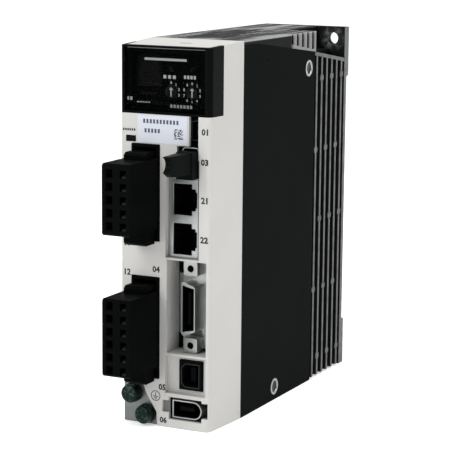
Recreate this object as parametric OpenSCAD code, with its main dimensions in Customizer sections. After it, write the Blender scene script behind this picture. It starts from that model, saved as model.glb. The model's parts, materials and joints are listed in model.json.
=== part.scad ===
// Book-style servo drive: light front cover, black case, finned heat sink, plug-in power
// connectors, signal sockets and the two boards inside.
// The drive stands on its bottom face. The front looks along -Y, the right side along +X.

/* [Case] */
// Width across the front
case_w = 40; // [40:0.5:41]
// Height from the bottom face to the top face
case_h = 150; // [150:0.5:151]
// Depth from the front face to the rear mounting face
case_d = 130; // [130:0.5:131]
// Depth of the light front cover
cover_d = 24.6; // [24:0.1:25]
// Wall thickness of the moulded covers
wall = 1.6; // [1.4:0.1:1.8]
// How far the power plugs stand out of the front face
plug_reach = 23.5; // [23:0.1:24.5]

/* [Heat sink] */
// Number of fins behind the side plate
fin_count = 6; // [4:1:6]
// Distance from one fin to the next
fin_pitch = 5.3; // [5.2:0.05:5.3]
// Thickness of a fin
fin_t = 2; // [1.6:0.1:2.2]
// Where the fins start from, across the width
fin_root_x = 33; // [33:0.1:33.4]
// Fall of the sloping top edge of the side, per millimetre of depth
side_slope = 0.148; // [0.14:0.001:0.15]

/* [Display] */
// Height of the lower edge of the black display frame
bezel_z = 122.6; // [122.4:0.1:122.8]
// How far the display frame reaches round the sides
bezel_d = 9.5; // [8:0.1:10]
// Thickness of the hinged lid
lid_t = 1.4; // [1.2:0.1:1.5]
// Distance between the two address dials
dial_pitch = 9; // [8.8:0.1:9.2]
// Radius of an address dial
dial_r = 2.5; // [2.2:0.05:2.5]

/* [Power plugs] */
// Distance between two poles
pole_pitch = 5; // [4.9:0.05:5]
// Number of poles of the mains plug
mains_poles = 5; // [5:1:5]
// Number of poles of the motor plug
motor_poles = 6; // [6:1:6]

/* [Mounting] */
// Diameter of the rear mounting hole and width of the rear slot
mount_hole_d = 5.2; // [5:0.1:5.4]
// Distance of the hole and the slot from the top and bottom edges
mount_edge_z = 5; // [5:0.1:5.2]
// Distance of the hole and the slot from the right and left edges
mount_edge_x = 6; // [6:0.1:6.2]

/* [Hidden] */
$fn = 48;

// A little extra for cutters, so that they pass right through a face.
eps = 0.5;
// Clear gap between two pieces that move past each other.
gap = 0.3;
// Radial clearance of a running fit.
fit = 0.05;

// Colours
light_grey = [0.79, 0.80, 0.79];
black_plastic = [0.10, 0.11, 0.11];
black_metal = [0.13, 0.14, 0.14];
smoke = [0.03, 0.03, 0.04];
bright_metal = [0.72, 0.73, 0.74];
gold = [0.83, 0.68, 0.35];
board_green = [0.10, 0.32, 0.20];
screw_green = [0.16, 0.25, 0.22];
beige = [0.86, 0.83, 0.74];

// Front cover
cover_front_top = 148.7;
cover_top_wall = 1.9;
corner_r = 2.1;
corner_x = 36.3;
recess_y = 2.4;
recess_x = [19.1, 33.6];
recess_z = [67.5, 106];
pocket_x = [19.7, 36.8];
pocket_z = [29.8, 66.8];
pocket_d = 10.4;
pocket_wall = 0.7;
lower_recess_z = [13.8, 28.9];
encoder_pocket_x = [20.8, 37.6];
encoder_pocket_z = [3.4, 12.4];

// Lid and the control panel behind it
lid_x = [1.4, 35.4];
lid_z = [123.8, 147.6];
lid_hinge_y = 2.2;
lid_hinge_z = 124.9;
hinge_pin_r = 0.7;
top_slot_x = [19.2, 24.4];
panel_y = 3.9;
panel_t = 1.2;
panel_x = [2, 35.6];
panel_z = [123.2, 146.6];
digit_x = [4.4, 15.2];
digit_z = [133, 145];
dial_z = 131.1;
units_x = 28.3;
tens_x = units_x - dial_pitch;
switch_w = 7.6;
lamp_z = 139.8;
lamp_r = 0.8;
monitor_x = [5.2, 12.8];
monitor_z = [126, 130.4];
board_face_y = 10;

// Boards
power_x = [3, 4.6];
control_x = [16.9, 18.5];
pillar_at = [[26, 54], [26, 116], [86, 20], [86, 102]];

// Power plugs: block, shroud and latches
plug_x = [4.6, 16.4];
shroud_front = -0.8;
shroud_depth = 11;
shroud_margin = 4.9;
shroud_wall = 1;
mains_mid = 92.3;
motor_mid = 39.2;
mains_edge = 3.7;
motor_edge = 2.6;
wire_x = 7.7;
lever_x = 13.6;
wire_w = 3;
wire_h = 3.5;
wire_depth = 16;
lever_w = 2.6;
lever_h = 3;
latch_x = [5.9, 15.1];
latch_pivot_y = 7.4;
latch_pivot_r = 0.9;
latch_arm_t = 1.1;
latch_pad_y = [-9.2, -1.6];
latch_pad_low = 1;
latch_pad_top = [7, 3.7];
pin_r = 0.6;

// Safety plug
safety_x = [26.7, 33];
safety_z = [101.2, 108.8];
safety_reach = 17.6;
safety_nose_x = [27.3, 29.9];
safety_nose_z = 103;

// Fins, rear plate and side
fin_first_y = 95.8;
slope_start_y = 36;
rear_y = 125.4;
rear_mid_y = 128;
pad_top_z = 129;
pad_bottom_z = 20;
side_t = 2;
side_end_y = 93.2;
ledge_y = 93.4;
ledge_t = 1.6;
side_x = case_w - side_t;
sink_wall_t = 2.4;
side_screw_at = [[87.4, 135], [57, 5.6]];
side_screw_head_r = 3.5;
side_screw_r = 1.75;
boss_r = 3.5;
ejector_r = 1.5;
ejector_first_z = 9.2;
ejector_step_z = 30.2;
top_notch_x = 26;
top_notch_y = 94;
bottom_notch_x = 12;
bottom_notch_y = 104;
bottom_notch_z = 11;
vent_first_y = 70.4;
vent_pitch = 5.15;
vent_w = 2.6;
pedestal_x = 11.4;

// Height of the sloping edge at a distance y behind the front face.
function slope_z(y) = case_h - side_slope * max(0, y - slope_start_y);

// Points of an arc about [cx, cy].
function arc(cx, cy, r, a0, a1, n = 8) =
    [for (i = [0:n]) let (a = a0 + (a1 - a0) * i / n) [cx + r * cos(a), cy + r * sin(a)]];

// Outline of the front cover seen from above, moved inwards by t, with its back at y = back.
function cover_plan(t, back) = concat(
    [[t, back], [t, t]],
    arc(corner_x, corner_r, corner_r - t, -90, -4),
    [[case_w - t, back]]
);

// Rectangle with rounded corners, as points, for the ranges x and z.
function soft_box(x, z, r) = concat(
    arc(x[1] - r, z[1] - r, r, 0, 90, 4),
    arc(x[0] + r, z[1] - r, r, 90, 180, 4),
    arc(x[0] + r, z[0] + r, r, 180, 270, 4),
    arc(x[1] - r, z[0] + r, r, 270, 360, 4)
);

function mid(range) = (range[0] + range[1]) / 2;

// Moves a piece drawn from the front left bottom corner into the part's own frame, whose
// origin is at the middle of the bottom face of the whole box.
module in_case() {
    translate([-case_w / 2, (plug_reach - case_d) / 2, 0]) children();
}

// Block between the ranges x, y and z.
module block(x, y, z) {
    translate([x[0], y[0], z[0]]) cube([x[1] - x[0], y[1] - y[0], z[1] - z[0]]);
}

// Outline in X and Z, drawn through the depth range y.
module slab_y(y) {
    translate([0, y[1], 0]) rotate([90, 0, 0]) linear_extrude(y[1] - y[0]) children();
}

// Outline in Y and Z, drawn through the width range x.
module slab_x(x) {
    translate([x[0], 0, 0]) rotate([90, 0, 90]) linear_extrude(x[1] - x[0]) children();
}

// Outline in X and Y, drawn through the height range z.
module slab_z(z) {
    translate([0, 0, z[0]]) linear_extrude(z[1] - z[0]) children();
}

// Round bar along Y, X or Z.
module bar_y(x, y, z, r) {
    translate([x, y[0], z]) rotate([-90, 0, 0]) cylinder(h = y[1] - y[0], r = r);
}

module bar_x(x, y, z, r) {
    translate([x[0], y, z]) rotate([0, 90, 0]) cylinder(h = x[1] - x[0], r = r);
}

// ---- Covers -------------------------------------------------------------------------------

// Outer body of the front cover and display frame, whose top falls a little to the front.
module cover_body() {
    intersection() {
        slab_z([0, case_h]) polygon(cover_plan(0, cover_d));
        slab_x([-eps, case_w + eps])
            polygon([[-eps, -eps], [cover_d + eps, -eps], [cover_d + eps, case_h],
                     [cover_d, case_h], [0, cover_front_top], [-eps, cover_front_top]]);
    }
}

// Front zone of the cover that the display frame takes up.
module bezel_zone(grow = 0) {
    difference() {
        block([-eps, case_w + eps], [-eps, bezel_d + grow], [bezel_z - grow, case_h + eps]);
        slab_z([bezel_z - 2, case_h + 2 * eps]) polygon(cover_plan(wall, cover_d));
    }
}

// Slot through the top of the cover, behind the display frame.
module top_slot() {
    block(top_slot_x, [10.4, 11.8], [case_h - 4, case_h + eps]);
}

module earth_outline(grow = 0) {
    polygon([[0.5 - grow * 3, 0.2 - grow * 3], [15.4 + grow, 0.2 - grow * 3], [15.1 + grow, 5.6],
             [10.4 + grow, 13], [9.4 + grow, 16.2], [9.4 + grow, 17.8 + grow],
             [0.5 - grow * 3, 17.8 + grow]]);
}

module front_cover() {
    color(light_grey) difference() {
        union() {
            difference() {
                cover_body();
                bezel_zone();
                // Hollow behind the front wall
                slab_z([wall, bezel_z - wall]) polygon(cover_plan(wall, cover_d + eps));
                slab_z([bezel_z - wall - eps, cover_front_top - cover_top_wall])
                    polygon(cover_plan(wall, cover_d + eps));
            }
            // Tray behind the socket recess and walls of the deep pocket
            block([recess_x[0] - 1.2, recess_x[1] + 1], [0.8, recess_y + 1.2], [recess_z[0], 108]);
            block([recess_x[0] - 1.2, pocket_x[1] + 1], [0.8, recess_y + 1.2],
                  [lower_recess_z[0] - 1, lower_recess_z[1] + 0.6]);
            block([pocket_x[0] - pocket_wall, pocket_x[1] + pocket_wall], [0.8, pocket_d],
                  [pocket_z[0] - pocket_wall, pocket_z[1] + pocket_wall]);
        }
        // Recess for the network jacks, with a rounded corner above its long left wall
        slab_y([-eps, recess_y]) polygon(concat(
            [[recess_x[0], recess_z[0]], [recess_x[1], recess_z[0]],
             [recess_x[1], recess_z[1]]],
            arc(recess_x[0] + 4, recess_z[1] - 4, 4, 90, 180, 6)));
        block([recess_x[0], 32.2], [-eps, 6], [67.5, 98.4]);
        // Safety socket and the narrow slot above it for the service socket
        block([24, 33.2], [-eps, 6], [98.7, 111.2]);
        block([29.1, 33.1], [-eps, 6], [110, bezel_z + eps]);
        // Deep pocket for the ribbon connector
        block(pocket_x, [-eps, pocket_d + eps], pocket_z);
        // Lower recess with the scale socket
        block([recess_x[0], pocket_x[1]], [-eps, recess_y], lower_recess_z);
        block([24.4, 34.8], [-eps, 6], [15.4, 27.6]);
        // Encoder socket with its latch notches
        block([encoder_pocket_x[0], 35.2], [-eps, 6], encoder_pocket_z);
        block([35, encoder_pocket_x[1]], [-eps, 6], [5.2, 11.4]);
        block([17.9, 21], [-eps, 1.1], [6.1, 10.9]);
        // Power sockets, charge window, earth corner and the catch for the lid
        block([plug_x[0] - gap, plug_x[1] + gap], [-eps, 6], shroud_span(mains_mid, mains_poles, mains_edge, gap));
        block([plug_x[0] - gap, plug_x[1] + gap], [-eps, 6], shroud_span(motor_mid, motor_poles, motor_edge, gap));
        block([1.8, 6.2], [-eps, 6], [111.6, 114.1]);
        slab_y([-eps, 3.4]) earth_outline(gap);
        top_slot();
    }
}

module display_bezel() {
    color(black_plastic) difference() {
        intersection() {
            cover_body();
            bezel_zone();
        }
        // Window for the lid, and hinge bores in its lower corners
        block([lid_x[0] - gap, lid_x[1] + gap], [-eps, wall + eps], [lid_z[0] - gap, lid_z[1] + gap]);
        bar_x([0.5, lid_x[0] + 1], lid_hinge_y - 1.2, lid_hinge_z, hinge_pin_r + fit);
        bar_x([lid_x[1] - 1, lid_x[1] + 0.9], lid_hinge_y - 1.2, lid_hinge_z, hinge_pin_r + fit);
    }
}

module display_lid() {
    pin_y = lid_hinge_y - 1.2;
    color(smoke, 0.6) {
        difference() {
            union() {
                block(lid_x, [0, lid_t], [lid_hinge_z, lid_z[1]]);
                bar_x(lid_x, pin_y, lid_hinge_z, pin_y);
                bar_x([lid_x[0] - 0.8, lid_x[1] + 0.8], pin_y, lid_hinge_z, hinge_pin_r);
            }
            // Sunk window with a bright bevel along its upper edge
            slab_x([lid_x[0] + 1.2, lid_x[1] - 1.2])
                polygon([[-eps, 126.4], [0.3, 126.7], [0.3, 145.9], [-eps, 146.8]]);
        }
    }
}

module case_shell() {
    top_z = [case_h - wall, case_h];
    color(black_plastic) difference() {
        union() {
            // Left wall, bottom wall and top wall
            block([0, wall], [cover_d, rear_y], [0, case_h]);
            block([0, side_x], [cover_d, side_end_y], [0, wall]);
            block([0, fin_root_x], [cover_d, rear_y], [0, wall]);
            block([0, case_w], [cover_d, top_notch_y], top_z);
            block([0, top_notch_x], [cover_d, rear_y], top_z);
            // Strip above the sloping edge of the side plate
            slab_x([side_x, case_w])
                polygon([[slope_start_y, case_h - wall], [slope_start_y, case_h], [top_notch_y, case_h],
                         [top_notch_y, slope_z(side_end_y)], [side_end_y, slope_z(side_end_y)]]);
            // Walls round the screw notch at the top right
            block([top_notch_x - 1.4, top_notch_x], [top_notch_y - 1.4, rear_y], [139, case_h]);
            block([top_notch_x - 1.4, side_x], [top_notch_y - 1.4, top_notch_y], [141.6, case_h]);
            block([top_notch_x - 1.4, fin_root_x], [top_notch_y - 1.4, rear_y], [139, 140.4]);
            // Walls round the screw notch at the bottom left
            block([bottom_notch_x, bottom_notch_x + 1.4], [bottom_notch_y - 1.4, rear_y],
                  [0, bottom_notch_z + 1.4]);
            block([0, bottom_notch_x + 1.4], [bottom_notch_y - 1.4, rear_y],
                  [bottom_notch_z, bottom_notch_z + 1.4]);
            block([0, bottom_notch_x + 1.4], [bottom_notch_y - 1.4, bottom_notch_y],
                  [0, bottom_notch_z + 1.4]);
        }
        block([-eps, bottom_notch_x], [bottom_notch_y, rear_y + eps], [-eps, bottom_notch_z]);
        // Vent slots round the top right corner, and across the top and the bottom
        for (i = [0:4]) {
            y = vent_first_y + i * vent_pitch;
            slab_x([31, case_w + eps])
                polygon([[y - vent_w / 2, case_h + eps], [y + vent_w / 2, case_h + eps],
                         [y + vent_w / 2, slope_z(y) + 0.9], [y - vent_w / 2, slope_z(y) + 0.9]]);
        }
        for (i = [0:9]) {
            y = vent_first_y - 36 + i * vent_pitch;
            block([6, 27], [y - vent_w / 2, y + vent_w / 2], [top_z[0] - eps, top_z[1] + eps]);
            block([6, 27], [y - vent_w / 2, y + vent_w / 2], [-eps, wall + eps]);
        }
    }
}

module side_plate() {
    color(black_metal) difference() {
        slab_x([side_x, case_w])
            polygon([[cover_d, 0], [side_end_y, 0], [side_end_y, slope_z(side_end_y)],
                     [slope_start_y, case_h - wall], [cover_d, case_h - wall]]);
        for (at = side_screw_at) {
            bar_x([side_x - eps, case_w + eps], at[0], at[1], side_screw_r + 0.1);
            translate([case_w - side_screw_r, at[0], at[1]]) rotate([0, 90, 0])
                cylinder(h = side_screw_r, r1 = side_screw_r, r2 = side_screw_head_r + fit);
        }
        // Moulding mark near the top edge
        bar_x([case_w - 0.2, case_w + eps], 46.2, 141.5, 0.7);
    }
}

// Cross recess for a screw head, of half length r, cut along +X.
module cross_x(at, x, r) {
    block(x, [at[0] - r, at[0] + r], [at[1] - 0.45, at[1] + 0.45]);
    block(x, [at[0] - 0.45, at[0] + 0.45], [at[1] - r, at[1] + r]);
}

module side_screws() {
    color(black_metal) for (at = side_screw_at) {
        difference() {
            union() {
                translate([case_w - side_screw_r, at[0], at[1]]) rotate([0, 90, 0])
                    cylinder(h = side_screw_r, r1 = side_screw_r, r2 = side_screw_head_r);
                bar_x([case_w - 7, case_w - side_screw_r + 0.01], at[0], at[1], side_screw_r);
            }
            cross_x(at, [case_w - 1.2, case_w + eps], 1.8);
        }
    }
}

// ---- Heat sink ----------------------------------------------------------------------------

module heat_sink() {
    wall_x = [fin_root_x, fin_root_x + sink_wall_t];
    color(black_metal) difference() {
        union() {
            // Rear plate with its two mounting pads
            block([0, case_w], [rear_y, rear_mid_y], [0, case_h]);
            block([0, case_w], [rear_y, case_d], [pad_top_z, case_h]);
            block([0, case_w], [rear_y, case_d], [0, pad_bottom_z]);
            // Side wall that carries the fins
            slab_x(wall_x)
                polygon([[27, 1.8], [rear_y, 1.8], [rear_y, slope_z(rear_y) - 1],
                         [27, slope_z(rear_y) - 1]]);
            // Sloping ledge that closes the fins at the top
            slab_x([fin_root_x, case_w])
                polygon([[ledge_y, slope_z(ledge_y)], [rear_y, slope_z(rear_y)],
                         [rear_y, slope_z(rear_y) - ledge_t], [ledge_y, slope_z(ledge_y) - ledge_t]]);
            for (i = [0:fin_count - 1]) {
                y = fin_first_y + i * fin_pitch;
                slab_x([fin_root_x + 1, case_w])
                    polygon([[y - fin_t / 2, 0.6 + 0.3 * (i % 2)], [y + fin_t / 2, 0.6 + 0.3 * (i % 2)],
                             [y + fin_t / 2, slope_z(y) - 1.2], [y - fin_t / 2, slope_z(y) - 1.2]]);
                // Ejector bosses, staggered from one fin to the next
                for (k = [(i + 1) % 2:2:4])
                    bar_x([fin_root_x + 1, case_w - 0.2], y, ejector_first_z + k * ejector_step_z, ejector_r);
            }
            // Shorter fins hidden behind the side plate
            for (i = [1:5])
                block([fin_root_x + 1, side_x - 0.4], [fin_first_y - i * fin_pitch - fin_t / 2,
                      fin_first_y - i * fin_pitch + fin_t / 2], [12, 128]);
            for (at = side_screw_at) bar_x([fin_root_x, side_x], at[0], at[1], boss_r);
            // Pedestal that the power module is pressed to
            block([pedestal_x, pedestal_x + 4], [96, 122], [44, 118]);
            for (z = [46, 80, 114])
                block([pedestal_x, fin_root_x + 1], [96, 122], [z, z + 3]);
        }
        for (at = side_screw_at) bar_x([fin_root_x - eps, side_x + eps], at[0], at[1], side_screw_r + fit);
        // Round hole at the top right and open slot at the bottom left
        bar_y(case_w - mount_edge_x, [rear_y - eps, case_d + eps], case_h - mount_edge_z, mount_hole_d / 2);
        bar_y(mount_edge_x, [rear_y - eps, case_d + eps], mount_edge_z, mount_hole_d / 2);
        block([mount_edge_x - mount_hole_d / 2, mount_edge_x + mount_hole_d / 2],
              [rear_y - eps, case_d + eps], [-eps, mount_edge_z]);
    }
}

// ---- Display and control panel ------------------------------------------------------------

module panel_plate() {
    y = [panel_y, panel_y + panel_t];
    cut = [y[0] - eps, y[1] + eps];
    color(black_plastic) difference() {
        block(panel_x, y, panel_z);
        block(digit_x, cut, digit_z);
        block(monitor_x, cut, monitor_z);
        for (x = [tens_x, units_x]) {
            bar_y(x, cut, dial_z, dial_r + gap);
            bar_y(x, cut, lamp_z, lamp_r + fit);
        }
    }
}

module display_board() {
    color(board_green) block([2.2, 35.6], [board_face_y, board_face_y + 1.2], [123.4, 146.4]);
}

module digit_display() {
    y = [panel_y + 0.5, board_face_y];
    segment = 0.9;
    color(black_plastic) difference() {
        block([digit_x[0] + 0.1, digit_x[1] - 0.1], y, [digit_z[0] + 0.1, digit_z[1] - 0.1]);
        // Two figures of seven segments, sunk in the face
        for (x = [7.1, 12.5]) {
            for (z = [134.6, 138.8, 143])
                block([x - 1.4, x + 1.4], [y[0] - eps, y[0] + 0.3], [z - segment / 2, z + segment / 2]);
            for (side = [-1, 1], z = [136.7, 140.9])
                block([x + side * 2 - segment / 2, x + side * 2 + segment / 2],
                      [y[0] - eps, y[0] + 0.3], [z - 1.5, z + 1.5]);
        }
    }
}

module status_lamps() {
    color("seagreen") for (x = [tens_x, units_x]) bar_y(x, [panel_y, board_face_y], lamp_z, lamp_r);
}

module monitor_socket() {
    y = [panel_y + 0.4, board_face_y];
    color(beige) difference() {
        block([monitor_x[0] + 0.1, monitor_x[1] - 0.1], y, [monitor_z[0] + 0.1, monitor_z[1] - 0.1]);
        block([monitor_x[0] + 0.8, monitor_x[1] - 0.8], [y[0] - eps, y[1] - 1.2],
              [monitor_z[0] + 0.8, monitor_z[1] - 0.8]);
    }
}

// Square body of a coded rotary switch, with a bore for its rotor.
module rotary_switch(x) {
    y = [panel_y + panel_t, board_face_y];
    color(black_plastic) difference() {
        block([x - switch_w / 2, x + switch_w / 2], y, [dial_z - switch_w / 2, dial_z + switch_w / 2]);
        bar_y(x, [y[0] - eps, y[0] + 2.6], dial_z, dial_r + fit);
    }
}

// Rotor of a coded switch, with an arrow slot for a small screwdriver.
module rotary_dial(x) {
    y = [panel_y - 0.4, panel_y + panel_t + 2.5];
    color("white") difference() {
        bar_y(x, y, dial_z, dial_r);
        block([x - 0.4, x + 0.4], [y[0] - eps, y[0] + 0.9], [dial_z - 1.9, dial_z + 1.1]);
        slab_y([y[0] - eps, y[0] + 0.9]) polygon([[x - 1.1, dial_z + 0.8], [x + 1.1, dial_z + 0.8], [x, dial_z + 2]]);
    }
}

module tens_switch() { rotary_switch(tens_x); }
module units_switch() { rotary_switch(units_x); }
module tens_dial() { rotary_dial(tens_x); }
module units_dial() { rotary_dial(units_x); }

module charge_lens() {
    color("maroon") slab_y([0.2, 2.2])
        polygon([[1.9, 111.7], [3.4, 111.7], [4, 112.7], [4.6, 111.7], [6.1, 111.7], [6.1, 114], [1.9, 114]]);
}

module charge_lamp() {
    color("orangered") block([power_x[1], power_x[1] + 1.4], [3.4, 5.4], [112, 113.6]);
}

module rating_label() {
    color("white") block([7, 28.4], [-0.12, 0], [111.6, 122.2]);
}

// ---- Signal sockets -----------------------------------------------------------------------

module usb_socket() {
    color(bright_metal) difference() {
        union() {
            slab_y([2, 12]) polygon(soft_box([29.3, 32.9], [113.3, 120.9], 0.9));
            block([control_x[1], 30], [6, 12], [114.5, 119.7]);
        }
        slab_y([2 - eps, 10]) polygon(soft_box([29.6, 32.6], [113.6, 120.6], 0.7));
    }
}

module usb_tongue() {
    color(black_plastic) block([30.6, 31.4], [3.4, 10], [114.6, 119.6]);
}

module safety_socket() {
    shell_x = [25.5, 33];
    shell_z = [98.9, 110.7];
    color(bright_metal) difference() {
        union() {
            slab_y([1.2, 15]) polygon(soft_box(shell_x, shell_z, 1.6));
            block([control_x[1], shell_x[0] + 1], [6, 15], [100.5, 109]);
        }
        slab_y([1.2 - eps, 13]) polygon(soft_box([shell_x[0] + 0.4, shell_x[1] - 0.4],
                                                 [shell_z[0] + 0.4, shell_z[1] - 0.4], 1.3));
    }
}

// Bypass plug: flange over the socket, shank inside it, and a grip that narrows to a hollowed end.
module safety_plug() {
    flange_y = -4.5;
    color(black_plastic) difference() {
        union() {
            block([safety_x[0] - 0.9, safety_x[1] - 0.1], [flange_y, 0.8], [safety_z[0] - 2.2, safety_z[1] + 0.7]);
            block([safety_x[0], safety_x[1] - 1], [0.7, 9], [safety_z[0] - 0.7, safety_z[1] - 0.5]);
            intersection() {
                slab_z(safety_z + [0, 0.4])
                    polygon([[safety_x[0] - 0.3, flange_y + 0.1], [safety_x[1] - 0.6, flange_y + 0.1],
                             [safety_nose_x[1], -safety_reach], [safety_nose_x[0], -safety_reach]]);
                slab_x(safety_x + [-1, 1])
                    polygon([[flange_y + 0.1, safety_z[0]], [flange_y + 0.1, safety_z[1] + 0.4],
                             [-safety_reach, safety_z[1] + 0.4], [-safety_reach, safety_nose_z],
                             [-safety_reach + 3.5, safety_z[0]]]);
            }
        }
        bar_x([safety_nose_x[0] - 2, safety_nose_x[1] + 2], -safety_reach - 0.5, safety_nose_z + 3.1, 2.65);
    }
}

jack_x = [19.1, 31.9];
jack_z = [67.6, 98.2];
jack_mid_z = [90.3, 74.9];
jack_open_x = [21.3, 29.2];
jack_open_h = 12.2;

module network_jacks() {
    color(bright_metal) difference() {
        block(jack_x, [recess_y + 0.1, 20], jack_z);
        for (z = jack_mid_z) {
            block(jack_open_x, [2, 14], [z - jack_open_h / 2, z + jack_open_h / 2]);
            block([jack_open_x[1] - eps, jack_x[1] - 0.5], [2, 14], [z - 3, z + 3]);
            block([jack_open_x[1] - eps, jack_x[1] - 1.1], [2, 14], [z - 4.2, z + 4.2]);
        }
    }
}

module network_contacts() {
    color(gold) for (z = jack_mid_z, i = [0:7]) {
        at = z + (i - 3.5) * 1.02;
        slab_z([at - 0.2, at + 0.2]) polygon([[jack_open_x[0], 5], [jack_open_x[0] + 0.5, 5],
            [jack_open_x[0] + 2.6, 12], [jack_open_x[0] + 2.6, 14], [jack_open_x[0] + 2, 14],
            [jack_open_x[0] + 2, 12.2], [jack_open_x[0], 5.6]]);
    }
}

ribbon_mouth = [[25.7, 38.4], [30.7, 39.6], [30.7, 55.8], [25.7, 57]];

// Outline of the ribbon connector's shell, narrower towards its right side.
function ribbon_outline(t) = concat(
    arc(26 + 0.2, 57.3 - t, 1, 90, 180, 4),
    arc(26 + 0.2, 38.1 + t, 1, 180, 270, 4),
    arc(30 - t + 0.2, 39.5 + t, 1, 270, 360, 4),
    arc(30 - t + 0.2, 55.9 - t, 1, 0, 90, 4)
);

module io_shell() {
    color(bright_metal) difference() {
        union() {
            slab_y([1.6, 9]) polygon(ribbon_outline(0));
            block([22.4, 32.6], [8.9, 9.9], [30.9, 66.5]);
            block([control_x[1], 31.4], [10.7, 20], [36, 60]);
            block([25.4, 31], [9.8, 10.8], [37.4, 57.8]);
        }
        slab_y([1.6 - eps, 18]) polygon(ribbon_mouth);
    }
}

module io_insert() {
    color(black_plastic) {
        block([27.5, 28.9], [3, 17], [41.4, 54.2]);
        block([25.7, 30.7], [17, 18], [41, 54.6]);
    }
}

module io_contacts() {
    color(gold) for (side = [0, 1], i = [0:12]) {
        z = mid([41.4, 54.2]) + (i - 6) * 0.95;
        block(side == 0 ? [27.2, 27.5] : [28.9, 29.2], [3.4, 16], [z - 0.2, z + 0.2]);
    }
}

module io_jack_posts() {
    color(bright_metal) for (z = [63.3, 32.9]) {
        difference() {
            slab_y([3.6, 8.9]) polygon(soft_box([25.2, 31.2], [z - 2.9, z + 2.9], 0.6));
            bar_y(28.2, [3, 9 + eps], z, 1.35);
        }
    }
}

module scale_socket() {
    color(black_plastic) difference() {
        union() {
            block([24.7, 34.5], [1.2, 18], [15.7, 27.3]);
            block([control_x[1], 25], [8, 18], [16.5, 26.5]);
        }
        slab_y([0, 14]) polygon([[25.7, 18.4], [27.2, 16.7], [33.6, 16.7], [33.6, 26.3], [27.2, 26.3], [25.7, 24.6]]);
    }
}

module scale_insert() {
    color(bright_metal) {
        block([28.6, 30.9], [3.6, 14], [18.6, 24.4]);
    }
}

module encoder_shell() {
    color(bright_metal) difference() {
        union() {
            slab_y([0.9, 18]) polygon(concat([[22, 11.3], [22, 4.1]],
                arc(31.2, 7.7, 3.6, -90, 90, 10)));
            block([control_x[1], 22.4], [8, 18], [4.6, 10.8]);
        }
        slab_y([0, 14]) polygon(concat([[22.5, 10.8], [22.5, 4.6]], arc(31.2, 7.7, 3.1, -90, 90, 10)));
    }
}

module encoder_insert() {
    color(black_plastic) block([24.6, 31], [2.2, 14], [6.9, 8.5]);
}

// ---- Power plugs and headers --------------------------------------------------------------

// Height range of a plug block with n poles, its middle at z and edge from end pole to end.
function block_span(z, n, edge) = [z - (n - 1) * pole_pitch / 2 - edge, z + (n - 1) * pole_pitch / 2 + edge];

// Height range of the header's shroud round that plug, grown by g.
function shroud_span(z, n, edge, g = 0) =
    [block_span(z, n, edge)[0] - shroud_margin - g, block_span(z, n, edge)[1] + shroud_margin + g];

function pole_z(z, n, i) = z + (i - (n - 1) / 2) * pole_pitch;

// Shrouded header on the power board.
module plug_header(z, n, edge) {
    span = shroud_span(z, n, edge);
    color(black_plastic) difference() {
        block(plug_x, [shroud_front, shroud_depth + 2], span);
        block([plug_x[0] + shroud_wall, plug_x[1] - shroud_wall], [shroud_front - eps, shroud_depth],
              [span[0] + shroud_wall, span[1] - shroud_wall]);
        for (i = [0:n - 1]) bar_y(mid(plug_x), [shroud_depth - eps, shroud_depth + 2 + eps], pole_z(z, n, i), pin_r);
    }
}

// Plug block with a wire entry and a lever slot for each pole, and a nose for the header.
module plug_body(z, n, edge) {
    span = block_span(z, n, edge);
    front = -plug_reach;
    back = shroud_front - 0.3;
    nose_z = [span[0] + 1.1, span[1] - 1.1];
    color(black_plastic) difference() {
        union() {
            block(plug_x, [front, back], span);
            block([plug_x[0] + shroud_wall + gap, plug_x[1] - shroud_wall - gap],
                  [back - 0.1, shroud_depth - gap], nose_z);
        }
        // Chamfers along the front edges
        for (end = [0, 1]) {
            d = end == 0 ? 1 : -1;
            slab_x([plug_x[0] - eps, plug_x[1] + eps])
                polygon([[front - eps, span[end] - d * eps], [front + 1.3, span[end] - d * eps],
                         [front - eps, span[end] + d * 1.3]]);
            // Hollow under the latch pad, and seat of the latch's root
            block([latch_x[0] - gap, latch_x[1] + gap], [latch_pad_y[0] - gap, back + eps],
                  end == 0 ? [span[0] - eps, span[0] + 1.3] : [span[1] - 1.3, span[1] + eps]);
            bar_x([plug_x[0], plug_x[1]], latch_pivot_y, nose_z[end], latch_pivot_r + fit);
        }
        for (i = [0:n - 1]) {
            at = pole_z(z, n, i);
            block([wire_x - wire_w / 2, wire_x + wire_w / 2], [front - eps, front + wire_depth],
                  [at - wire_h / 2, at + wire_h / 2]);
            block([lever_x - lever_w / 2, lever_x + lever_w / 2], [front - eps, front + wire_depth - 5],
                  [at - lever_h / 2, at + lever_h / 2]);
            bar_y(mid(plug_x), [-4, shroud_depth + eps], at, pin_r + 0.25);
        }
    }
}

// Bent clamping springs at the bottom of the wire entries.
module plug_springs(z, n) {
    bottom = wire_depth - plug_reach;
    side = wire_x + wire_w / 2;
    color(bright_metal) for (i = [0:n - 1]) {
        at = pole_z(z, n, i);
        slab_z([at - 1.2, at + 1.2]) polygon([[side, bottom], [side - 0.4, bottom], [side - 0.4, bottom - 5],
            [side - 2, bottom - 2.2], [side - 2.3, bottom - 2.5], [side - 0.5, bottom - 6.2], [side, bottom - 6.2]]);
    }
}

// Latch outline in Y and height above the nose, with its pad up to the height top.
function latch_outline(top) = [
    [latch_pivot_y, latch_arm_t], [latch_pivot_y, 0.1], [-0.6, 0.1], [latch_pad_y[1], latch_pad_low],
    [latch_pad_y[0], latch_pad_low], [latch_pad_y[0], top - 1], [latch_pad_y[0] + 1.4, top],
    [latch_pad_y[1] + 0.4, top], [latch_pad_y[1] + 0.4, 3.2], [0.6, latch_arm_t], [1.8, latch_arm_t],
    [2.2, latch_arm_t + 0.9], [3.4, latch_arm_t + 0.9], [4.6, latch_arm_t]
];

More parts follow.
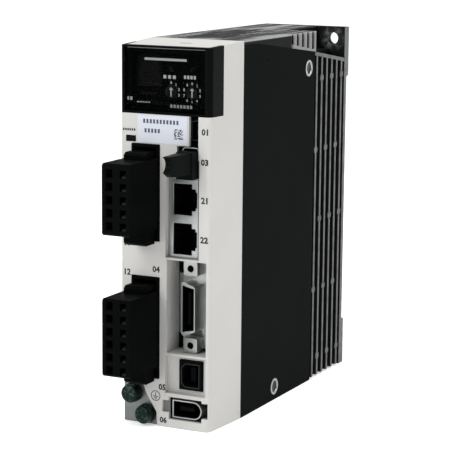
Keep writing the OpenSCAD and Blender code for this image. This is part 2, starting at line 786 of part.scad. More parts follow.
// Release latch on the upper (dir = 1) or lower (dir = -1) side of a plug.
module plug_latch(z, n, edge, dir) {
    span = block_span(z, n, edge);
    nose = dir > 0 ? span[1] - 1.1 : span[0] + 1.1;
    color(black_plastic) union() {
        slab_x(latch_x)
            polygon([for (p = latch_outline(latch_pad_top[dir > 0 ? 1 : 0])) [p[0], nose + dir * p[1]]]);
        bar_x(latch_x, latch_pivot_y, nose, latch_pivot_r);
    }
}

module mains_header() { plug_header(mains_mid, mains_poles, mains_edge); }
module motor_header() { plug_header(motor_mid, motor_poles, motor_edge); }
module mains_plug() { plug_body(mains_mid, mains_poles, mains_edge); }
module motor_plug() { plug_body(motor_mid, motor_poles, motor_edge); }
module mains_springs() { plug_springs(mains_mid, mains_poles); }
module motor_springs() { plug_springs(motor_mid, motor_poles); }
module mains_latch_upper() { plug_latch(mains_mid, mains_poles, mains_edge, 1); }
module mains_latch_lower() { plug_latch(mains_mid, mains_poles, mains_edge, -1); }
module motor_latch_upper() { plug_latch(motor_mid, motor_poles, motor_edge, 1); }
module motor_latch_lower() { plug_latch(motor_mid, motor_poles, motor_edge, -1); }

module header_pins() {
    color(bright_metal) {
        for (i = [0:mains_poles - 1])
            bar_y(mid(plug_x), [0.5, shroud_depth + 2], pole_z(mains_mid, mains_poles, i), pin_r);
        for (i = [0:motor_poles - 1])
            bar_y(mid(plug_x), [0.5, shroud_depth + 2], pole_z(motor_mid, motor_poles, i), pin_r);
    }
}

// ---- Earth terminal -----------------------------------------------------------------------

earth_at = [[4.8, 12.2], [10.8, 4.4]];
earth_y = [1, 2.6];
earth_screw_r = 1.95;
earth_head_r = 3.6;
earth_head_y = -3;

module earth_plate() {
    color(bright_metal) difference() {
        union() {
            slab_y(earth_y) earth_outline();
            block([3, 8.5], [earth_y[0], 24], [wall + 0.1, wall + 1.6]);
        }
        for (at = earth_at) bar_y(at[0], [earth_y[0] - eps, earth_y[1] + eps], at[1], earth_screw_r + fit);
    }
}

module earth_screws() {
    color(screw_green) for (at = earth_at) {
        difference() {
            union() {
                bar_y(at[0], [-0.6, 8], at[1], earth_screw_r);
                bar_y(at[0], [earth_head_y, -0.6], at[1], earth_head_r);
                translate([at[0], earth_head_y, at[1]]) rotate([90, 0, 0])
                    cylinder(h = 0.6, r1 = earth_head_r, r2 = earth_head_r - 0.8);
            }
            block([at[0] - 2.1, at[0] + 2.1], [earth_head_y - 1, earth_head_y + 0.9], [at[1] - 0.5, at[1] + 0.5]);
            block([at[0] - 0.5, at[0] + 0.5], [earth_head_y - 1, earth_head_y + 0.9], [at[1] - 2.1, at[1] + 2.1]);
        }
    }
}

module earth_washers() {
    color(screw_green) for (at = earth_at) {
        difference() {
            bar_y(at[0], [-0.6, earth_y[0]], at[1], earth_head_r + 0.3);
            bar_y(at[0], [-0.6 - eps, earth_y[0] + eps], at[1], earth_screw_r + fit);
        }
    }
}

// ---- Boards and what is on them -----------------------------------------------------------

module power_board() {
    color(board_green) difference() {
        slab_x(power_x) polygon([[3.2, 19], [14, 19], [14, 6], [100, 6], [100, 14.5], [122, 14.5],
                                 [122, 146], [12, 146], [12, 121], [3.2, 121]]);
        block([0, 10], [2, 3.4], [111, 115]);
    }
}

module control_board() {
    color(board_green) slab_x(control_x) polygon([[4.2, 4], [90, 4], [90, 138], [14, 138], [14, 121], [4.2, 121]]);
}

module board_pillars() {
    color(gold) for (at = pillar_at)
        translate([power_x[1], at[0], at[1]]) rotate([0, 90, 0])
            cylinder(h = control_x[0] - power_x[1], r = 2.4, $fn = 6);
}

module board_screws() {
    color(bright_metal) for (at = pillar_at) {
        difference() {
            bar_x([control_x[1], control_x[1] + 1.7], at[0], at[1], 2.4);
            cross_x(at, [control_x[1] + 0.9, control_x[1] + 2.5], 1.4);
        }
    }
}

module board_link() {
    color(beige) block([power_x[1], control_x[0]], [78, 83], [58, 90]);
}

module power_module() {
    color(black_plastic) {
        block([6, 11], [98, 120], [48, 86]);
        for (i = [0:8], y = [98.6, 118.6]) {
            block([power_x[1], 6.5], [y, y + 0.8], [50 + i * 4, 51 + i * 4]);
        }
    }
}

module thermal_pad() {
    color("slategray") block([11, pedestal_x], [97, 121], [46, 116]);
}

module rectifier() {
    color(black_plastic) {
        block([6.2, 11], [99, 119], [92, 114]);
        for (i = [0:3]) block([power_x[1], 7], [101 + i * 5, 102 + i * 5], [93, 94]);
    }
}

module bus_capacitors() {
    x = mid([power_x[1], control_x[0]]);
    color("midnightblue") for (z = [110.5, 123.5, 136.5]) {
        difference() {
            bar_y(x, [38, 76], z, 6);
            // Rolled groove near the end of the can
            difference() {
                bar_y(x, [40, 41], z, 7);
                bar_y(x, [39, 42], z, 5.6);
            }
        }
    }
}

module transformer() {
    color("goldenrod") {
        block([power_x[1], 16], [32, 50], [62, 82]);
        block([6, 14.6], [29, 53], [65, 79]);
    }
}

module inrush_relay() {
    color("royalblue") block([power_x[1], 15], [56, 72], [62, 74]);
}

module line_choke() {
    color("darkred") translate([10.6, 44, 34]) rotate([0, 90, 0])
        rotate_extrude() translate([8.5, 0]) circle(r = 4.4);
}

module control_chips() {
    x = control_x[1];
    color(black_plastic) {
        block([x, x + 1.5], [44, 60], [74, 90]);
        block([x, x + 1.3], [66, 76], [78, 88]);
        block([x, x + 1.2], [44, 56], [50, 58]);
        block([x, x + 2.4], [26, 38], [70, 78]);
        block([x, x + 1.2], [64, 74], [108, 116]);
    }
}

// ---- Assembly -----------------------------------------------------------------------------

in_case() front_cover();
in_case() case_shell();
in_case() side_plate();
in_case() side_screws();
in_case() heat_sink();
in_case() display_bezel();
in_case() display_lid();
in_case() panel_plate();
in_case() display_board();
in_case() digit_display();
in_case() status_lamps();
in_case() monitor_socket();
in_case() tens_switch();
in_case() tens_dial();
in_case() units_switch();
in_case() units_dial();
in_case() charge_lens();
in_case() charge_lamp();
in_case() rating_label();
in_case() usb_socket();
in_case() usb_tongue();
in_case() safety_socket();
in_case() safety_plug();
in_case() network_jacks();
in_case() network_contacts();
in_case() io_shell();
in_case() io_insert();
in_case() io_contacts();
in_case() io_jack_posts();
in_case() scale_socket();
in_case() scale_insert();
in_case() encoder_shell();
in_case() encoder_insert();
in_case() mains_header();
in_case() mains_plug();
in_case() mains_springs();
in_case() mains_latch_upper();
in_case() mains_latch_lower();
in_case() motor_header();
in_case() motor_plug();
in_case() motor_springs();
in_case() motor_latch_upper();
in_case() motor_latch_lower();
in_case() header_pins();
in_case() earth_plate();
in_case() earth_screws();
in_case() earth_washers();
in_case() control_board();
in_case() power_board();
in_case() board_pillars();
in_case() board_screws();
in_case() board_link();
in_case() power_module();
in_case() thermal_pad();
in_case() rectifier();
in_case() bus_capacitors();
in_case() transformer();
in_case() inrush_relay();
in_case() line_choke();
in_case() control_chips();
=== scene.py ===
"""Looks of a book-style servo drive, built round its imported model.

Sizes are in millimetres from the front left bottom corner of the case, as the drive stands:
x to the right, y to the back and z up. Each piece is made in that frame and then set in metres
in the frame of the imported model.
"""
import json
import logging
import math
from dataclasses import dataclass
from enum import Enum
from functools import cache
from typing import Sequence, Union

import bmesh
import bpy
from mathutils import Matrix, Vector

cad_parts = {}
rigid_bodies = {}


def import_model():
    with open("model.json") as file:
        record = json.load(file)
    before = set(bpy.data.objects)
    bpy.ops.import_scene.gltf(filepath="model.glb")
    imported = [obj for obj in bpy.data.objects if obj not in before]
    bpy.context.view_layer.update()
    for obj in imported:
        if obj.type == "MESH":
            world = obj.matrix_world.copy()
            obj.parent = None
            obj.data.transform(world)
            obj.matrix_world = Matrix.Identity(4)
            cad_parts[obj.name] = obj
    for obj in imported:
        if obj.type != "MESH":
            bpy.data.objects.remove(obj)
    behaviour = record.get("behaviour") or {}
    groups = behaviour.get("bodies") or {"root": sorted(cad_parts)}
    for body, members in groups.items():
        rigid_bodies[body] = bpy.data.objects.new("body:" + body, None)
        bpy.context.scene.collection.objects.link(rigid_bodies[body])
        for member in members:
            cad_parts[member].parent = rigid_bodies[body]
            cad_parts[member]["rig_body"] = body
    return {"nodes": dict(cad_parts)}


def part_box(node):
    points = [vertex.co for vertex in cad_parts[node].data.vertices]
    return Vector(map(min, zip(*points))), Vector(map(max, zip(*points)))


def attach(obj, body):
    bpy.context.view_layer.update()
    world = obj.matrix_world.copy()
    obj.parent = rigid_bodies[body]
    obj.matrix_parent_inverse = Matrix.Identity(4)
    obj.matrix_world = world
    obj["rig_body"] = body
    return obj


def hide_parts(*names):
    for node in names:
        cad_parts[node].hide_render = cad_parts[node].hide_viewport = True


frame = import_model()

log = logging.getLogger("drive")
MM = 0.001
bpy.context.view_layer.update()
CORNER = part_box("front_cover")[0]
PRINT = 0.012       # how far printed ink stands out of its face
SHARP = 32          # degrees between faces that meet in a sharp edge
WELD = 0.002        # corners closer than this are one
STROKE = 0.04       # how much a figure's strokes are thickened, as a share of its size

Span = tuple[float, float]
Block = tuple[Span, Span, Span]
Colour = tuple[float, float, float]
Point = tuple[float, float, float]
Tint = Union[Colour, bpy.types.NodeSocket]


def srgb(red: float, green: float, blue: float) -> Colour:
    """Linear colour of an 8-bit screen colour.

    Args:
        red: Red, 0 to 255.
        green: Green, 0 to 255.
        blue: Blue, 0 to 255.

    Returns:
        The linear colour.
    """
    def linear(value: float) -> float:
        """Linear share of one channel."""
        value /= 255
        return value / 12.92 if value <= 0.04045 else ((value + 0.055) / 1.055) ** 2.4
    return linear(red), linear(green), linear(blue)


def mid(span: Span) -> float:
    """Middle of a range."""
    return (span[0] + span[1]) / 2


def node_span(node: str, axis: int) -> Span:
    """Range of a CAD node along an axis, in millimetres from the case corner."""
    low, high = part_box(node)
    return (low[axis] - CORNER[axis]) / MM, (high[axis] - CORNER[axis]) / MM


class Axis(Enum):
    """Direction that a prism, a rod or a turned shape runs along."""
    X = 0
    Y = 1
    Z = 2


# ---- Node graphs ----------------------------------------------------------------------------

class Value:
    """A node socket that takes part in Python arithmetic."""

    def __init__(self, graph: "Graph", socket: bpy.types.NodeSocket) -> None:
        """Wraps an output socket of a graph."""
        self.graph = graph
        self.socket = socket

    def math(self, operation: str, *terms: "Term") -> "Value":
        """Result of a Math node on the given terms."""
        return self.graph.value("ShaderNodeMath", {"operation": operation}, dict(enumerate(terms)))

    def __add__(self, other: "Term") -> "Value":
        """Sum."""
        return self.math("ADD", self, other)

    def __radd__(self, other: "Term") -> "Value":
        """Sum with a number on the left."""
        return self.math("ADD", other, self)

    def __sub__(self, other: "Term") -> "Value":
        """Difference."""
        return self.math("SUBTRACT", self, other)

    def __rsub__(self, other: "Term") -> "Value":
        """Difference from a number on the left."""
        return self.math("SUBTRACT", other, self)

    def __mul__(self, other: "Term") -> "Value":
        """Product."""
        return self.math("MULTIPLY", self, other)

    def __rmul__(self, other: "Term") -> "Value":
        """Product with a number on the left."""
        return self.math("MULTIPLY", other, self)

    def __truediv__(self, other: "Term") -> "Value":
        """Quotient."""
        return self.math("DIVIDE", self, other)

    def __floordiv__(self, other: "Term") -> "Value":
        """Whole part of the quotient."""
        return self.math("FLOOR", self / other)

    def __mod__(self, other: "Term") -> "Value":
        """Remainder of the quotient."""
        return self.math("MODULO", self, other)

    def root(self) -> "Value":
        """Square root."""
        return self.math("SQRT", self)

    def most(self, other: "Term") -> "Value":
        """Larger of the two."""
        return self.math("MAXIMUM", self, other)

    def ramp(self, low: float, high: float, start: float = 0.0, end: float = 1.0) -> "Value":
        """Smooth step from start at low to end at high.

        Args:
            low: Where the step starts.
            high: Where it ends.
            start: Result at low.
            end: Result at high.

        Returns:
            The result.
        """
        return self.graph.value("ShaderNodeMapRange", {"interpolation_type": "SMOOTHSTEP"},
                                {"Value": self, "From Min": low, "From Max": high,
                                 "To Min": start, "To Max": end})


Term = Union[Value, float, int]


class Graph:
    """A node tree that nodes are added to by type, settings and inputs."""

    def __init__(self, tree: bpy.types.NodeTree) -> None:
        """Wraps a shader or geometry node tree."""
        self.tree = tree

    def add(self, kind: str, settings: dict | None = None, inputs: dict | None = None) -> bpy.types.Node:
        """Adds any node.

        Args:
            kind: The node's type name.
            settings: Attributes set before the sockets, such as a Math node's operation.
            inputs: Values or links of its input sockets, by name or number.

        Returns:
            The new node.
        """
        node = self.tree.nodes.new(kind)
        for name, value in (settings or {}).items():
            setattr(node, name, value)
        for name, value in (inputs or {}).items():
            self.feed(node.inputs[name], value)
        return node

    def feed(self, socket: bpy.types.NodeSocket, value: object) -> None:
        """Links an input socket to a value or an output, or sets it.

        Args:
            socket: The input socket.
            value: A value, an output socket, or what the input is set to.
        """
        if isinstance(value, Value):
            value = value.socket
        if isinstance(value, bpy.types.NodeSocket):
            self.tree.links.new(value, socket)
        else:
            socket.default_value = value

    def value(self, kind: str, settings: dict | None = None, inputs: dict | None = None,
              output: int | str = 0) -> Value:
        """Adds a node and returns one of its outputs for arithmetic."""
        return Value(self, self.add(kind, settings, inputs).outputs[output])


class Surface(Graph):
    """A material's graph, with the patterns that the finishes share."""

    def __init__(self, material: bpy.types.Material) -> None:
        """Empties the material's tree and adds its shader.

        Args:
            material: The material.
        """
        material.use_nodes = True
        super().__init__(material.node_tree)
        self.tree.nodes.clear()
        self.shader = self.add("ShaderNodeBsdfPrincipled")
        self.add("ShaderNodeOutputMaterial", None, {0: self.shader.outputs[0]})
        self.place = self.add("ShaderNodeTexCoord").outputs["Object"]

    def reach(self, axis: Axis) -> Value:
        """Distance from the case corner along an axis, in millimetres."""
        along = self.value("ShaderNodeSeparateXYZ", None, {0: self.place}, axis.value)
        return (along - CORNER[axis.value]) / MM

    def noise(self, size: float, detail: float = 2.0, stretch: Point = (1, 1, 1)) -> Value:
        """Noise from 0 to 1 with spots of a size in millimetres.

        Args:
            size: Size of the spots.
            detail: Number of finer layers.
            stretch: Factors on the three coordinates.

        Returns:
            The noise.
        """
        vector = self.place
        if stretch != (1, 1, 1):
            vector = self.value("ShaderNodeVectorMath", {"operation": "MULTIPLY"}, {0: vector, 1: stretch})
        return self.value("ShaderNodeTexNoise", None,
                          {"Vector": vector, "Scale": 1 / (size * MM), "Detail": detail})

    def cells(self, size: float) -> Value:
        """Distance from the middle of Voronoi cells of a size in millimetres."""
        return self.value("ShaderNodeTexVoronoi", None, {"Vector": self.place, "Scale": 1 / (size * MM)})

    def blend(self, mask: Value, first: Tint, second: Tint) -> bpy.types.NodeSocket:
        """Colour that goes from the first to the second with the mask.

        Args:
            mask: 0 for the first colour, 1 for the second.
            first: A colour, or a link to one.
            second: A colour, or a link to one.

        Returns:
            The blended colour.
        """
        tints = {number: tint if isinstance(tint, bpy.types.NodeSocket) else (*tint, 1)
                 for number, tint in ((6, first), (7, second))}
        return self.add("ShaderNodeMix", {"data_type": "RGBA"}, {0: mask} | tints).outputs[2]

    def bump(self, height: Value, depth: float) -> None:
        """Gives the surface a relief of a depth in millimetres."""
        node = self.add("ShaderNodeBump", None, {"Height": height, "Distance": depth * MM, "Strength": 1.0})
        self.set("Normal", node.outputs[0])

    def set(self, name: str, value: object) -> None:
        """Sets or links an input of the shader."""
        self.feed(self.shader.inputs[name], value)


# ---- Finishes -------------------------------------------------------------------------------

@dataclass(frozen=True)
class Finish:
    """A surface finish with the material slot that it belongs to."""
    name: str
    slot: str
    colour: Colour
    roughness: float = 0.5
    specular: float = 0.5

    def material(self) -> bpy.types.Material:
        """The finish's material, made once.

        Returns:
            The material.
        """
        found = bpy.data.materials.get(self.name)
        if found is None:
            found = bpy.data.materials.new(self.name)
            surface = Surface(found)
            surface.set("Specular IOR Level", self.specular)
            self.dress(surface)
        return found

    def toned(self, share: float) -> Colour:
        """The finish's colour, made darker or lighter."""
        return tuple(part * share for part in self.colour)

    def dress(self, surface: Surface) -> None:
        """Gives the surface its even colour and gloss."""
        surface.set("Base Color", (*self.colour, 1))
        surface.set("Roughness", self.roughness)


@dataclass(frozen=True)
class Moulding(Finish):
    """Moulded plastic with a fine spark-eroded grain and faint handling marks."""
    grain: float = 0.28
    depth: float = 0.02
    shade: float = 0.9
    gloss_change: float = 0.12
    cloud: float = 38
    smear: float = 9

    def dress(self, surface: Surface) -> None:
        """Grain in the relief, with cloudy changes of colour and gloss.

        Args:
            surface: The surface that is dressed.
        """
        clouds = surface.noise(self.cloud, 3).ramp(0.35, 0.7)
        surface.set("Base Color", surface.blend(clouds, self.colour, self.toned(self.shade)))
        smear = surface.noise(self.smear, 4, (1, 1, 0.4))
        surface.set("Roughness", smear * self.gloss_change + (self.roughness - self.gloss_change / 2))
        surface.bump(surface.noise(self.grain, 2) + surface.noise(self.grain * 3, 1) * 0.5, self.depth)


@dataclass(frozen=True)
class RubbedMoulding(Moulding):
    """Moulding with painted sheen on its top face and vent bars, and a painted highlight on its top edge."""
    # Painted sheen colour of the top face and vent bars, then painted highlight colour of the top edge.
    rubbed: Colour = srgb(144, 145, 144)
    edge: Colour = srgb(158, 159, 158)
    side: Span = (39.3, 39.7)
    top: Span = (149.3, 149.8)
    bars: tuple[Span, Span] = ((139.5, 142.0), (68.0, 72.0))
    # Strength of the painted sheen on the vent bars, and size of its stripes on the top face.
    bar_wear: float = 0.85
    streak: float = 4

    def dress(self, surface: Surface) -> None:
        """Moulded skin, with painted sheen on the top face and vent bars and a painted highlight on the top
        edge.

        Args:
            surface: The surface that is dressed.
        """
        super().dress(surface)
        height, side = surface.reach(Axis.Z), surface.reach(Axis.X).ramp(*self.side)
        sheen_streaks = surface.noise(self.streak, 4, (1, 0.12, 1)).ramp(0.42, 0.62, 0.15, 1)
        bars = height.ramp(*self.bars[0]) * surface.reach(Axis.Y).ramp(*self.bars[1]) * side
        top = height.ramp(*self.top)
        # Painted sheen: paler stripes on the top face, and paler vent bars.
        sheen_mask = (top * sheen_streaks).most(bars * self.bar_wear)
        skin = surface.blend(sheen_mask, self.colour, self.rubbed)
        # Painted highlight along the top edge, where the top face meets the side.
        surface.set("Base Color", surface.blend(top * side, skin, self.edge))


@dataclass(frozen=True)
class Coat(Finish):
    """Matt black coat on sheet metal, with orange peel and fine dust."""
    peel: float = 0.7
    depth: float = 0.02
    dust: float = 0.35
    haze: float = 24
    gloss_change: float = 0.14

    def dress(self, surface: Surface) -> None:
        """Orange peel in the relief and sparse lighter specks.

        Args:
            surface: The surface that is dressed.
        """
        specks = surface.noise(self.dust, 2).ramp(0.68, 0.8)
        lighter = tuple(part + 0.004 for part in self.toned(1.5))
        surface.set("Base Color", surface.blend(specks * 0.7, self.colour, lighter))
        haze = surface.noise(self.haze, 3) * self.gloss_change
        surface.set("Roughness", haze + (self.roughness - self.gloss_change / 2))
        surface.bump(surface.noise(self.peel, 2) * 0.7 + surface.noise(self.peel * 0.3, 1) * 0.3,
                     self.depth)


@dataclass(frozen=True)
class Casting(Finish):
    """Coated die casting, lighter at the fin ends and round the mounting hole: wear with painted highlight.
    """
    # Colour of the fin ends and the ring round the mounting hole: uncoated metal with painted highlight.
    bare: Colour = srgb(116, 117, 117)
    edge: float = 39.75
    hole: Span = (34.0, 145.0)
    hole_edge: float = 2.6
    # Reach of the paler ring round the mounting hole, which is scuffs with painted highlight.
    rub: float = 6.5
    depth: float = 0.06

    def dress(self, surface: Surface) -> None:
        """Cast skin in the relief, lighter where the fins end and round the mounting hole: wear with painted
        highlight.

        Args:
            surface: The surface that is dressed.
        """
        reach = surface.reach(Axis.X)
        # Fin ends made lighter: partly uncoated metal, partly painted highlight.
        sheen_mask = reach.ramp(self.edge, self.edge + 0.2) * surface.noise(3.5, 3).ramp(0.3, 0.6, 0.7, 1)
        flecks = surface.noise(0.6, 3).ramp(0.68, 0.8) * 0.15
        skin = surface.blend(flecks, self.colour, self.toned(1.8))
        across, up = reach - self.hole[0], surface.reach(Axis.Z) - self.hole[1]
        ring = (across * across + up * up).root()
        # Paler round the mounting hole: scuffs with a painted highlight.
        rubbed = ring.ramp(self.rub, self.hole_edge) * surface.noise(2.6, 4).ramp(0.42, 0.62, 0.1, 0.75)
        sheen_mask = sheen_mask.most(rubbed)
        surface.set("Base Color", surface.blend(sheen_mask, skin, self.bare))
        surface.set("Roughness", surface.noise(3, 3) * 0.2 + (self.roughness - 0.1))
        surface.set("Metallic", sheen_mask * 0.2)
        surface.bump(surface.noise(0.5, 3) + surface.noise(2.5, 2) * 0.6, self.depth)


@dataclass(frozen=True)
class Plating(Finish):
    """Plated metal with rolling marks along one direction."""
    stretch: Point = (1, 0.08, 1)
    tarnish: float = 0.75
    depth: float = 0.01

    def dress(self, surface: Surface) -> None:
        """Fine drawn lines, with soft patches of tarnish.

        Args:
            surface: The surface that is dressed.
        """
        patch = surface.noise(6, 2).ramp(0.35, 0.75)
        surface.set("Base Color", surface.blend(patch, self.colour, self.toned(self.tarnish)))
        surface.set("Metallic", 1.0)
        lines = surface.noise(0.25, 3, self.stretch)
        surface.set("Roughness", lines * 0.1 + patch * 0.06 + (self.roughness - 0.07))
        surface.bump(lines, self.depth)


@dataclass(frozen=True)
class Chromate(Finish):
    """Green chromate on screw steel, with paler patches of thin film that are partly painted glints."""
    # Paler film colour: thin chromate film, brightened as painted glints.
    thin: Colour = srgb(96, 112, 104)

    def dress(self, surface: Surface) -> None:
        """Cloudy film over bright metal, its paler patches partly painted glints.

        Args:
            surface: The surface that is dressed.
        """
        film = surface.noise(1.3, 4).ramp(0.5, 0.66)
        surface.set("Base Color", surface.blend(film, self.colour, self.thin))
        surface.set("Metallic", 0.85)
        surface.set("Roughness", film * 0.12 + self.roughness)
        surface.bump(surface.noise(0.35, 3), 0.015)


@dataclass(frozen=True)
class Lens(Finish):
    """Clear tinted plastic."""
    cover: float = 0.4

    def dress(self, surface: Surface) -> None:
        """Even tint with a polished, slightly scuffed skin.

        Args:
            surface: The surface that is dressed.
        """
        surface.set("Base Color", (*self.colour, 1))
        surface.set("Alpha", self.cover)
        surface.set("IOR", 1.5)
        scuff = surface.noise(1.2, 4, (1, 1, 0.3)).ramp(0.55, 0.8)
        surface.set("Roughness", scuff * 0.1 + self.roughness)
        surface.bump(surface.noise(14, 2), 0.02)


@dataclass(frozen=True)
class Film(Finish):
    """Satin printed film."""
    fibre: float = 0.4

    def dress(self, surface: Surface) -> None:
        """Faint mottling under a thin varnish.

        Args:
            surface: The surface that is dressed.
        """
        mottle = surface.noise(self.fibre, 3).ramp(0.3, 0.8)
        surface.set("Base Color", surface.blend(mottle, self.colour, self.toned(0.95)))
        surface.set("Roughness", mottle * 0.08 + self.roughness)
        surface.set("Coat Weight", 0.15)
        surface.bump(mottle, 0.006)


@dataclass(frozen=True)
class Backdrop(Film):
    """Lit white ground that is brighter far from the drive."""
    near: float = 0.45
    far: float = 0.85
    reach: Span = (0.5, 3.0)

    def dress(self, surface: Surface) -> None:
        """Film with a glow that grows with the distance.

        Args:
            surface: The surface that is dressed.
        """
        super().dress(surface)
        distance = surface.value("ShaderNodeVectorMath", {"operation": "LENGTH"}, {0: surface.place}, "Value")
        low, high = ((level, level, level) for level in (self.near, self.far))
        surface.set("Emission Color", surface.blend(distance.ramp(*self.reach), low, high))
        surface.set("Emission Strength", 1.0)


@dataclass(frozen=True)
class Laminate(Finish):
    """Lacquered circuit board with tracks under the lacquer."""
    track: Colour = srgb(46, 110, 70)
    pad: Colour = srgb(168, 150, 92)
    track_pitch: float = 2.2
    pad_pitch: float = 1.3

    def dress(self, surface: Surface) -> None:
        """Tracks and pads as cells in the lacquer.

        Args:
            surface: The surface that is dressed.
        """
        lines = surface.cells(self.track_pitch).ramp(0.42, 0.5)
        pads = surface.cells(self.pad_pitch).ramp(0.2, 0.12)
        green = surface.blend(lines, self.colour, self.track)
        surface.set("Base Color", surface.blend(pads * 0.6, green, self.pad))
        surface.set("Roughness", pads * 0.1 + self.roughness)
        surface.bump(lines + pads, 0.02)


COVER = Moulding("cover_grain", "cover_plastic", srgb(192, 191, 188), 0.55, 0.3, shade=0.97, gloss_change=0.1)
# The case gets painted sheen on its top face and vent bars and a painted highlight on its top edge.
CASE = RubbedMoulding("case_grain", "case_plastic", srgb(19, 20, 20), 0.5, 0.04, depth=0.03, shade=0.8)
SIDE = Coat("side_coat_matt", "side_coat", srgb(19, 21, 20), 0.6, 0.006)
# The heat sink's fin ends and mounting hole are painted lighter: wear with painted highlight.
SINK = Casting("sink_casting", "sink_coat", srgb(18, 19, 20), 0.6, 0.05)
SIDE_SCREW = Plating("black_screw", "screw_black", srgb(62, 64, 64), 0.4)
SCREW_RIM = Plating("screw_rim", "screw_black", srgb(186, 188, 188), 0.45)
BEZEL = Moulding("bezel_satin", "bezel_gloss", srgb(7, 9, 8), 0.3, 0.03, grain=0.35, depth=0.006, shade=0.85)
SMOKE = Lens("smoked_lid", "lid_smoke", srgb(3, 4, 5), 0.1, 0.03, cover=0.2)
PANEL = Moulding("panel_print_black", "panel_black", srgb(3, 5, 4), 0.5, 0.01, depth=0.01)
BOARD = Laminate("board_lacquer", "board", srgb(24, 78, 46), 0.35)
BLACK_PART = Moulding("black_component", "part_black", srgb(10, 10, 11), 0.42, 0.06, depth=0.015)
DIAL = Moulding("dial_moulding", "dial_white", srgb(16, 17, 18), 0.4, 0.1, depth=0.01)
LAMP = Lens("lamp_pipe", "lamp_lens", srgb(20, 28, 23), 0.3, 0.05, cover=0.95)
FIGURE = Moulding("figure_diffuser", "part_black", srgb(14, 10, 10), 0.35, 0.05, depth=0.004)
CHARGE = Lens("charge_lens", "charge_red", srgb(14, 11, 11), 0.3, 0.05, cover=0.97)
LABEL = Film("label_film", "label_paper", srgb(198, 202, 211), 0.45, 0.3)
LABEL_INK = Film("label_ink", "label_paper", srgb(72, 74, 92), 0.5, 0.2)
SHELL = Plating("tinned_shell", "shell_metal", srgb(166, 169, 168), 0.34, tarnish=0.88)
DIM_SHELL = Plating("dim_screen", "shell_metal", srgb(48, 52, 50), 0.4, tarnish=0.85)
POST = Plating("nickel_post", "shell_metal", srgb(172, 175, 172), 0.34, tarnish=0.92, depth=0.003)
GOLD = Plating("gold_contact", "contact_gold", srgb(120, 104, 66), 0.3, tarnish=0.8)
BEIGE = Moulding("beige_insulator", "insulator_beige", srgb(206, 200, 182), 0.5, depth=0.01)
PLUG = Moulding("plug_satin", "plug_black", srgb(8, 10, 9), 0.38, 0.008, grain=0.4, depth=0.012, shade=0.8)
BYPASS = Moulding("bypass_satin", "plug_black", srgb(12, 14, 14), 0.36, 0.02, grain=0.4, depth=0.012,
                  shade=0.85)
LEVER = Moulding("lever_grey", "spring_steel", srgb(27, 30, 29), 0.4, 0.05, grain=0.5, depth=0.01)
# Mid-grey colour of a plate that is painted shade in the latch pocket beside the encoder socket.
NOTCH_SHADE = Moulding("shaded_notch", "cover_plastic", srgb(112, 111, 108), 0.6, 0.1)
LINER = Moulding("socket_liner", "part_black", srgb(5, 7, 6), 0.45, 0.03, depth=0.006)
BLUE_INSERT = Moulding("socket_insert", "part_black", srgb(6, 9, 11), 0.4, 0.02, depth=0.006)
SPRING = Plating("spring_strip", "spring_steel", srgb(150, 150, 148), 0.3)
EARTH = Plating("earth_strip", "earth_steel", srgb(111, 115, 114), 0.36, tarnish=0.93)
GREEN_SCREW = Chromate("green_screw", "screw_green", srgb(12, 27, 22), 0.3, thin=srgb(48, 66, 58))
BRASS = Plating("turned_brass", "pillar_brass", srgb(196, 166, 92), 0.3, stretch=(0.08, 1, 1))
PAD = Moulding("heat_pad", "pad_grey", srgb(118, 128, 142), 0.7)
CAN = Moulding("can_sleeve_blue", "can_sleeve", srgb(24, 28, 66), 0.22, depth=0.005)
WINDING = Moulding("winding_tape", "winding", srgb(196, 150, 44), 0.4, grain=0.8)
RELAY = Moulding("relay_blue", "relay_case", srgb(28, 60, 116), 0.35)
CHOKE = Moulding("choke_lacquer", "choke_coat", srgb(110, 28, 20), 0.28, grain=1.4, depth=0.12)
FLOOR = Backdrop("pale_floor", "stage", srgb(244, 244, 245), 0.9, 0.1)
INK = Film("dark_ink", "cover_plastic", srgb(34, 36, 37), 0.5, 0.1)
LIGHT_INK = Film("light_ink", "panel_black", srgb(205, 208, 210), 0.5, 0.2)
GREY_INK = Film("grey_ink", "panel_black", srgb(132, 134, 136), 0.5, 0.1)


# ---- Mesh making ----------------------------------------------------------------------------

def link(made: bpy.types.Object) -> None:
    """Puts an object in the scene."""
    bpy.context.scene.collection.objects.link(made)


def evaluated(source: bpy.types.Object) -> bpy.types.Mesh:
    """Plain mesh of an object, with its modifiers or its text carried out.

    Args:
        source: An object in the scene.

    Returns:
        The mesh.
    """
    graph = bpy.context.evaluated_depsgraph_get()
    graph.update()
    return bpy.data.meshes.new_from_object(source.evaluated_get(graph))


def smooth(data: bpy.types.Mesh) -> None:
    """Shades a mesh smooth between its sharp edges."""
    data.shade_smooth()
    data.set_sharp_from_angle(angle=math.radians(SHARP))


